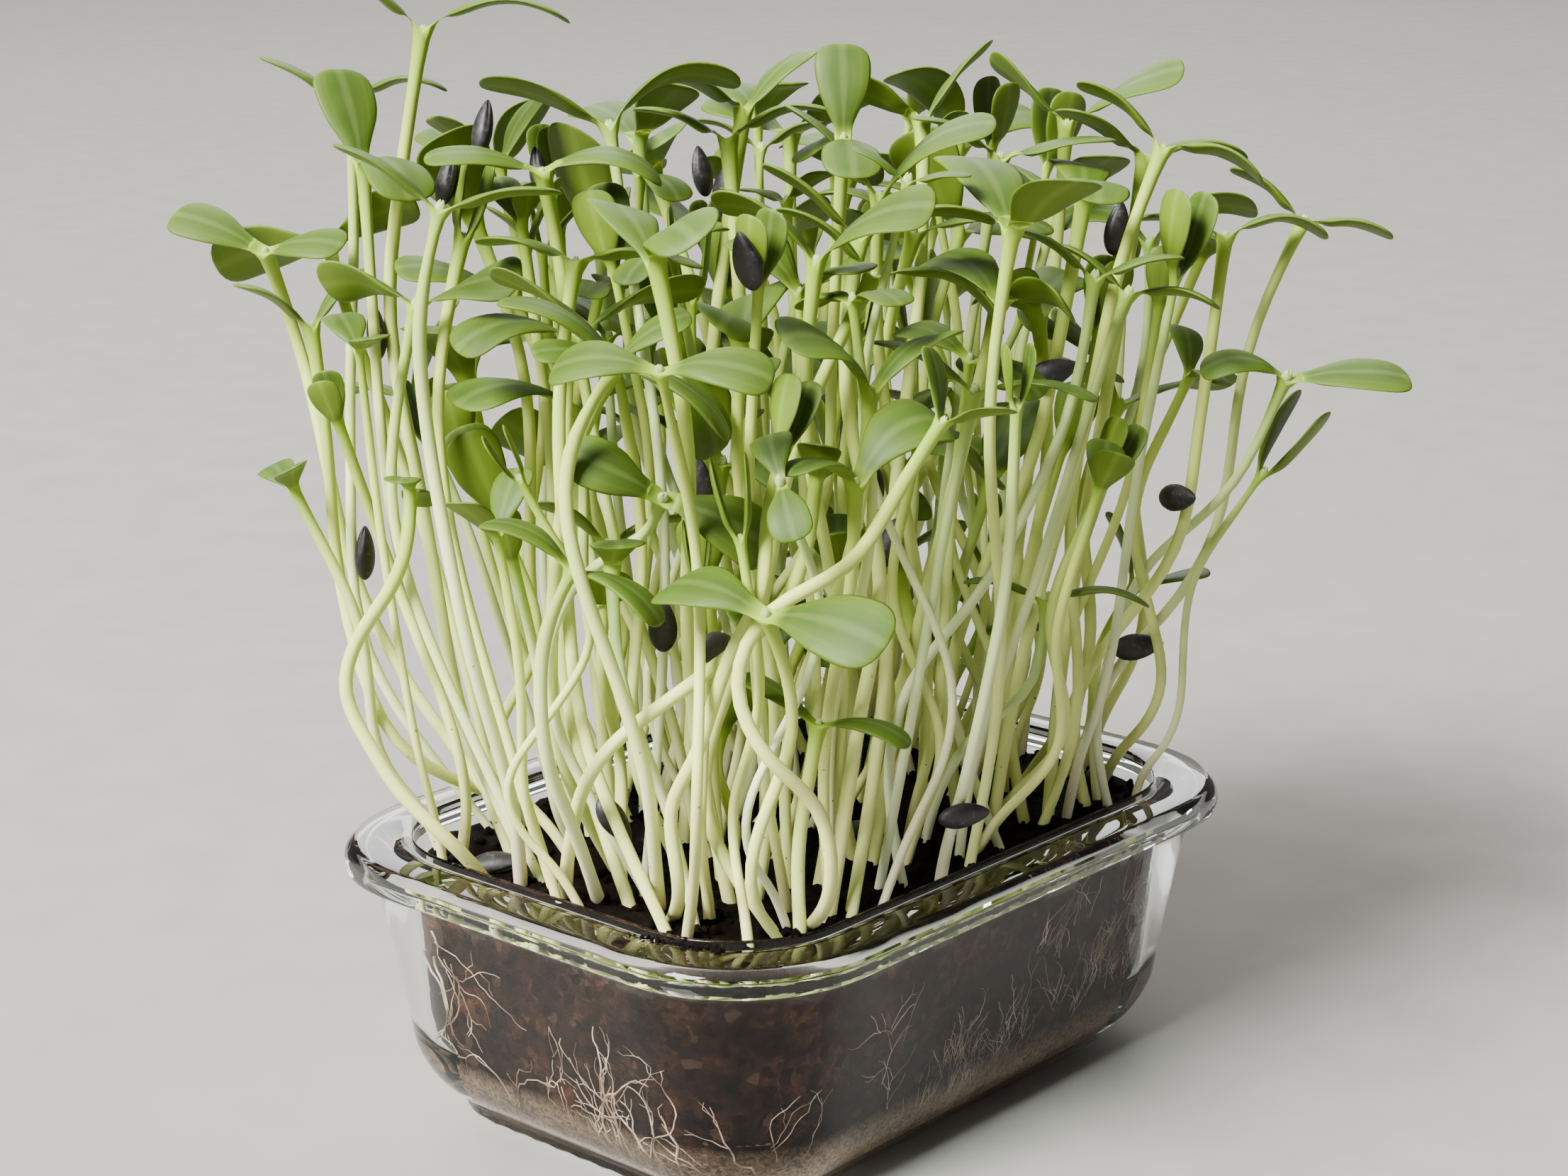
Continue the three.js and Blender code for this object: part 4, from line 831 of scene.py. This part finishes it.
def skin_of(pieces):
    """One search tree of the faces of several pieces."""
    skins = [corners_of(piece.data) for piece in pieces]
    starts = np.cumsum([0] + [len(skin) for skin in skins])
    faces = [[corner + int(start) for corner in face.vertices]
             for piece, start in zip(pieces, starts) for face in piece.data.polygons]
    return BVHTree.FromPolygons([tuple(spot) for skin in skins for spot in skin], faces)


def try_thin_shoot(knots, model, turn, leaf_size, girth):
    """Stands a thin shoot along its knots where there is room for it, and says if it did."""
    if knots is None:
        return False
    path = smooth_path(knots)
    mesh = bend_along(model, path, turn, leaf_size, girth)
    leaves = leaf_spots(mesh)
    if not has_room(path, leaves, THIN_RADIUS * girth):
        return False
    thin_spots.extend(path[1:] + leaves)
    thin_cages.append(add_object("thin_shoot", mesh))
    return True


soil_skin = skin_of([soil])
crowd_skin = skin_of(standing)

bpy.ops.object.select_all(action="DESELECT")
models = [model_thin_shoot(math.radians(root), math.radians(tip)) for root, tip in OPENINGS]
draw = random.Random(23)
thin_spots = []
thin_cages = []
for opening, facing, leaf_size, route in TOLD_SHOOTS:
    for attempt in range(TOLD_TRIES):
        knots = told_knots(route, TOLD_SHIFT * attempt / TOLD_TRIES)
        turn = math.radians(facing + draw.uniform(-TOLD_TWIST, TOLD_TWIST) * attempt / TOLD_TRIES)
        if try_thin_shoot(knots, models[opening], turn, leaf_size, TOLD_GIRTH):
            break
for _ in range(THIN_SHOOTS * THIN_TRIES):
    if len(thin_cages) == THIN_SHOOTS:
        break
    try_thin_shoot(chance_knots(), draw.choice(models), draw.uniform(0, 2 * math.pi),
                   draw.uniform(*LEAF_SIZES), draw.uniform(*GIRTHS))
for model in models:
    bpy.data.objects.remove(model)


def join_all(parts, name):
    """Joins copies into one piece."""
    bpy.ops.object.select_all(action="DESELECT")
    for part in parts:
        part.select_set(True)
    bpy.context.view_layer.objects.active = parts[0]
    bpy.ops.object.join()
    parts[0].name = name
    return parts[0]


for number in range(2):
    thin = join_all(thin_cages[number::2], f"thin_shoots_{number + 1}")
    bpy.ops.object.mode_set(mode="EDIT")
    forks += mark_shoots(thin)
    bpy.ops.object.mode_set(mode="OBJECT")
    round_off(thin, levels=2)
    crease_leaves(thin, THIN_SLIMMING)
    wear(thin, shoot_skin)
    standing.append(thin)

# ---- True-leaf buds ----
# The first true leaves, folded in a hairy bud 3 mm long between the two seed leaves.
# One bud is shaped from a ball, notched between its two leaf points, and copied to every fork.

bpy.ops.object.select_all(action="DESELECT")
bpy.ops.mesh.primitive_uv_sphere_add(segments=10, ring_count=8, radius=1 * MM)
bud_model = bpy.context.object
for corner in bud_model.data.vertices:
    height = corner.co.z / MM
    pinch = 1 - 0.45 * max(0.0, height)
    notch = 0.75 * math.exp(-(corner.co.x / (0.3 * MM)) ** 2) * max(0.0, height)
    corner.co = (corner.co.x * pinch * 0.95, corner.co.y * pinch * 0.8, (height * 1.6 - notch + 0.9) * MM)
bpy.ops.object.shade_smooth()

buds = []
for saddle, rise, out, tone in forks:
    side = rise.cross(out).normalized()
    frame_of_bud = Matrix((side.cross(rise), side, rise)).transposed().to_4x4()
    mesh = bud_model.data.copy()
    size = 0.75 + 0.5 * tone
    mesh.transform(Matrix.Translation(saddle - rise * 0.4 * MM) @ frame_of_bud @ Matrix.Scale(size, 4))
    buds.append(add_object("true_leaf_bud", mesh))
bud_cluster = join_all(buds, "true_leaf_buds")
bpy.data.objects.remove(bud_model)

# Young leaf with a down of fine hairs: bright yellow-green, matt, silvery at its edges.
bud_skin, tree, shader, place = new_finish("young_true_leaf_downy")
down = add_node(tree, "TexNoise", {"Vector": place, "Scale": 1 / (0.4 * MM), "Detail": 3.0})
fresh = add_node(tree, "ValToRGB", {"Fac": down}, stops=[(0.3, "#6f8c35"), (0.75, "#b6c877")])
downy = add_node(tree, "Bump", {"Height": down, "Strength": 0.5, "Distance": 0.12 * MM})
set_inputs(shader, {"Base Color": fresh, "Normal": downy, "Roughness": 0.7, "Sheen Weight": 0.4})
wear(bud_cluster, bud_skin)

# ---- Camera ----
# It looks down on the near corner of the dish from 0.68 m, and comes before the hulls, which are
# hung where it sees them.

AZIMUTH, ELEVATION, ROLL = math.radians(-48.418), math.radians(15.284), math.radians(-0.313)
TARGET = Vector((4.613, 6.281, 110.352)) * MM
DISTANCE = 681.3 * MM
back = Vector((math.sin(AZIMUTH) * math.cos(ELEVATION), -math.cos(AZIMUTH) * math.cos(ELEVATION),
               math.sin(ELEVATION)))
level = UP.cross(back).normalized()
upright = back.cross(level)
right = level * math.cos(ROLL) + upright * math.sin(ROLL)
eye = bpy.data.cameras.new("camera")
eye.sensor_width = 36
eye.lens = 70.21
camera = add_object("camera", eye)
camera.matrix_world = (Matrix.Translation(TARGET + back * DISTANCE)
                       @ Matrix((right, back.cross(right), back)).transposed().to_4x4())
bpy.context.scene.camera = camera

# ---- Seed hulls ----
# Empty black sunflower hulls, 12 x 6 x 4 mm: some still cap a pair of leaves, some lie on the soil,
# and some have stuck to stems and leaves. One hull is shaped from a ball: pointed at its foot, ribbed
# lengthwise, with the seam split open at the blunt end. A copy goes to the place, heading and flat
# side of each CAD hull, and others cling to the first surface that the camera sees at a spot.

HULL_LENGTH, HULL_WIDTH, HULL_THICKNESS = 12 * MM, 6.2 * MM, 4.2 * MM
POINTEDNESS, BLUNTNESS = 0.8, 0.62
RIB_DEPTH, RIBS = 0.045, 16
# the seam: how wide it is, how far up the hull it starts, and how much it cuts off width and length
SEAM_WIDTH, SEAM_START, SEAM_DEPTH, SEAM_SHORTENING = 0.16, 0.35, 0.55, 0.12
CLING_TRIES, CLING_REACH, CLING_TURN = 250, 0.018, 50
# how far a hull is let into what it clings to, and the room that its two flanks keep
CLING_DEPTH, FLANK_ROOM = 0.2 * MM, 0.4 * MM
# how far from everything a hull's axis stays at each share of its length from the middle, in mm
CLING_ROOM = ((-0.42, 1.0), (-0.2, 1.75), (0, 1.75), (0.2, 1.75), (0.42, 1.0))
FLANKS = (-0.4, 0.4)
# right and up from the middle of the view, as shares of its width, and the slant in degrees
CLINGING_HULLS = (
    (-0.209, 0.26, 40), (-0.02, 0.211, 85), (-0.256, 0.165, 60), (-0.271, 0.023, 110), (0.172, 0.138, 20),
    (0.252, 0.058, 5), (0.223, -0.035, 12), (-0.077, -0.021, 90), (0.068, 0.028, 65), (-0.046, -0.035, 5),
    (-0.112, -0.149, -35), (-0.183, -0.182, -10), (0.115, -0.143, -15))

bpy.ops.object.select_all(action="DESELECT")
bpy.ops.mesh.primitive_uv_sphere_add(segments=32, ring_count=16, radius=1,
                                     rotation=(0, math.pi / 2, 0))
hull_model = bpy.context.object
bpy.ops.object.transform_apply(location=False, rotation=True, scale=False)
for corner in hull_model.data.vertices:
    share = (corner.co.x + 1) / 2
    around = math.atan2(corner.co.z, corner.co.y)
    girth = math.hypot(corner.co.y, corner.co.z)
    at_end = not 0.001 < share < 0.999
    swell = 0 if at_end else math.sin(math.pi * share ** POINTEDNESS) ** BLUNTNESS / max(girth, 1e-6)
    ridge = 1 - RIB_DEPTH * (0.5 + 0.5 * math.cos(around * RIBS))
    seam = math.exp(-(math.sin(around) / SEAM_WIDTH) ** 2) * max(0.0, share - SEAM_START) ** 1.2
    factor = swell * ridge * (1 - SEAM_DEPTH * seam)
    corner.co = (share * HULL_LENGTH * (1 - SEAM_SHORTENING * seam),
                 corner.co.y * factor * HULL_WIDTH / 2, corner.co.z * factor * HULL_THICKNESS / 2)
bpy.ops.object.shade_smooth()


def add_hull(foot, heading, wide, thin):
    """Copies the hull to a foot, pointed along its heading, with its broad side along wide."""
    mesh = hull_model.data.copy()
    turn = Matrix((heading, wide, thin)).transposed().to_4x4()
    mesh.transform(Matrix.Translation(foot) @ turn)
    hulls.append(add_object("sunflower_hull", mesh))


hull_names = sorted(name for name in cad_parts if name.startswith("hull_"))
hulls = []
for name in hull_names:
    corners = np.unique(corners_of(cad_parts[name].data).round(6), axis=0)
    middle = corners.mean(axis=0)
    headings = np.linalg.svd(corners - middle)[2]
    heading, wide = Vector(headings[0]), Vector(headings[1])
    lengths = (corners - middle) @ headings[0]
    if lengths.max() < -lengths.min():
        heading, lengths = -heading, -lengths
    add_hull(Vector(middle) + heading * lengths.min(), heading, wide, heading.cross(wide))


def hang_hull(right_share, up_share, slant, slack):
    """Hangs a hull on what the camera sees at a spot, if it clears the rest, and says if it did."""
    reach = CLING_REACH * slack
    look = Vector((right_share + draw.uniform(-reach, reach), up_share + draw.uniform(-reach, reach), 0))
    look = camera.matrix_world.to_3x3() @ (look * eye.sensor_width / eye.lens - UP)
    hit, normal, _, _ = all_skin.ray_cast(camera.location, look)
    angle = math.radians(slant + draw.uniform(-CLING_TURN, CLING_TURN) * slack)
    if hit is None:
        return False
    along = camera.matrix_world.to_3x3() @ Vector((math.cos(angle), math.sin(angle), 0))
    along = (along - normal * along.dot(normal)).normalized()
    wide = normal.cross(along)
    middle = hit + normal * (HULL_THICKNESS / 2 - CLING_DEPTH)
    for share, room in CLING_ROOM:
        spot = middle + along * HULL_LENGTH * share
        if min(all_skin.find_nearest(spot)[3], dish_skin.find_nearest(spot)[3]) <= room * MM:
            return False
    flanks = [middle + wide * HULL_WIDTH * side for side in FLANKS]
    if min(all_skin.find_nearest(spot)[3] for spot in flanks) <= FLANK_ROOM:
        return False
    add_hull(middle - along * HULL_LENGTH / 2, along, wide, normal)
    return True


all_skin = skin_of([*standing, soil])
draw = random.Random(8)
for spot in CLINGING_HULLS:
    for attempt in range(CLING_TRIES):
        if hang_hull(*spot, attempt / CLING_TRIES):
            break
hull_cluster = join_all(hulls, "sunflower_hulls")
bpy.data.objects.remove(hull_model)

# Dry sunflower hull: charcoal black with faint grey streaks, woody and dull.
hull_wood, tree, shader, place = new_finish("sunflower_hull_dry")
streaks = add_node(tree, "TexNoise", {"Vector": place, "Scale": 1 / (1.3 * MM), "Detail": 4.0})
charcoal = add_node(tree, "ValToRGB", {"Fac": streaks}, stops=[
    (0.35, "#0e0b0c"), (0.8, "#4d484a"), (0.6, "#1f1b1c")])
woody = add_node(tree, "Bump", {"Height": streaks, "Strength": 0.5, "Distance": 0.2 * MM})
dull = add_node(tree, "MapRange", {"Value": streaks, "To Min": 0.4, "To Max": 0.75})
set_inputs(shader, {"Base Color": charcoal, "Roughness": dull, "Normal": woody})
wear(hull_cluster, hull_wood)
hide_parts(*hull_names)

# ---- Crumbs and fibres on the soil ----
# Loose crumbs of peat, 1 to 4 mm, on the soil and spilt on the rim at the near corner, and short
# coir fibres on the soil. One crumb is a knobbly ball of few faces, copied, turned and sized by
# chance where it lands. A fibre is a thin tube laid over the soil.

CRUMBS, FOOT_CRUMBS, RIM_CRUMBS = 380, 900, 46
# the least height that a scattered crumb and a stem's foot are looked for, and the foot's greatest
BED_LOW, FOOT_HIGH = 55 * MM, 58 * MM
SPILL_START = Vector((-80.5, -27, DROP_HEIGHT)) * MM
SPILL_END = Vector((-75.5, -48, DROP_HEIGHT)) * MM
FIBRES, FIBRE_JOINTS, FIBRE_STEP, FIBRE_RADIUS = 60, 7, 1.6 * MM, 0.13 * MM

bpy.ops.object.select_all(action="DESELECT")
bpy.ops.mesh.primitive_ico_sphere_add(subdivisions=2, radius=1)
crumb_model = bpy.context.object
for corner in crumb_model.data.vertices:
    corner.co *= 0.8 + 0.45 * noise.noise(corner.co * 1.3)
bpy.ops.object.shade_smooth()

draw = random.Random(4)
lumps = []


def drop_crumb(spot, size):
    """Puts a crumb on the soil or on the rim that is under it, whichever is higher."""
    landings = [skin.ray_cast(spot, DOWN)[0] for skin in (soil_skin, dish_skin)]
    landed = max((place for place in landings if place is not None), key=lambda place: place.z)
    if landed.z < LOWEST_LANDING:
        return
    turn = Matrix.Rotation(draw.uniform(0, 6), 4, Vector((draw.random(), draw.random(), 0.3)))
    mesh = crumb_model.data.copy()
    stretch = Matrix.Diagonal((size * draw.uniform(0.8, 1.6), size, size * draw.uniform(0.6, 1), 1))
    mesh.transform(Matrix.Translation(landed + UP * (0.3 * size)) @ turn @ stretch)
    lumps.append(add_object("soil_crumb", mesh))


while len(lumps) < CRUMBS:
    spot = over_bed(71, 50)
    landed = soil_skin.ray_cast(spot, DOWN)[0]
    if landed is not None and landed.z > BED_LOW:
        drop_crumb(spot, (0.5 + 1.4 * draw.random() ** 3) * MM)
# sorted, so that each run draws the same feet
feet = np.unique(np.vstack([corners_of(piece.data) for piece in standing]).round(6), axis=0)
feet = [spot for spot in feet if BED_LOW < spot[2] < FOOT_HIGH]
for spot in draw.sample(feet, FOOT_CRUMBS):
    aside = Vector((draw.gauss(0, 1.6), draw.gauss(0, 1.6), 3)) * MM
    drop_crumb(Vector(spot) + aside, (0.5 + 1.1 * draw.random() ** 2) * MM)
for _ in range(RIM_CRUMBS):
    across = Vector((draw.gauss(0, 0.9), draw.gauss(0, 0.9), 0)) * MM
    drop_crumb(SPILL_START.lerp(SPILL_END, draw.random() ** 0.8) + across, draw.uniform(0.25, 0.75) * MM)

fibre_paths = []
while len(fibre_paths) < FIBRES:
    spot = over_bed(56, 36)
    heading = draw.uniform(0, 2 * math.pi)
    path = []
    for _ in range(FIBRE_JOINTS):
        landed = soil_skin.ray_cast(spot, DOWN)[0]
        path.append((landed + UP * (draw.uniform(0.1, 0.9) * MM), FIBRE_RADIUS))
        heading += draw.gauss(0, 0.3)
        spot += Vector((math.cos(heading), math.sin(heading), 0)) * FIBRE_STEP
    fibre_paths.append(path)
lumps.append(lay_tubes(fibre_paths, "coir_fibres"))
crumb_bed = join_all(lumps, "loose_soil_crumbs")
bpy.data.objects.remove(crumb_model)
wear(crumb_bed, peat)

# ---- Floor and light ----
# A plain pale floor in an even room, with a broad soft window high on the left and weaker light from
# above and from behind on the right.

bpy.ops.object.select_all(action="DESELECT")
bpy.ops.mesh.primitive_plane_add(size=40, location=(0, 0, -0.0005))
floor = bpy.context.object
floor.name = "floor"
paper, tree, shader, place = new_finish("matt_backdrop_paper")
pulp = add_node(tree, "TexNoise", {"Vector": place, "Scale": 40.0, "Detail": 3.0})
pale = add_node(tree, "ValToRGB", {"Fac": pulp}, stops=[(0.3, "#827e79"), (0.7, "#88847f")])
set_inputs(shader, {"Base Color": pale, "Roughness": 0.9})
floor.data.materials.append(paper)
floor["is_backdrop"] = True

room = bpy.data.worlds.new("even_room")
bpy.context.scene.world = room
room.use_nodes = True
set_inputs(room.node_tree.nodes["Background"], {"Color": linear("#eeebe6"), "Strength": 0.24})
MIDDLE = Vector((0, 0, 0.12))


def add_lamp(name, spot, size, power):
    """A square soft lamp at a spot, aimed at the middle of the tray."""
    lamp = bpy.data.lights.new(name, "AREA")
    lamp.size = size
    lamp.energy = power
    holder = add_object(name, lamp)
    holder.location = spot
    holder.rotation_euler = (MIDDLE - spot).to_track_quat("-Z", "Y").to_euler()


add_lamp("window", Vector((-3.0, 0.3, 3.0)), 1.6, 1000)
add_lamp("sky", Vector((0.3, 0.9, 3.9)), 2.4, 90)
add_lamp("back", Vector((2.7, 2.4, 2.4)), 2.4, 110)

low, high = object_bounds()
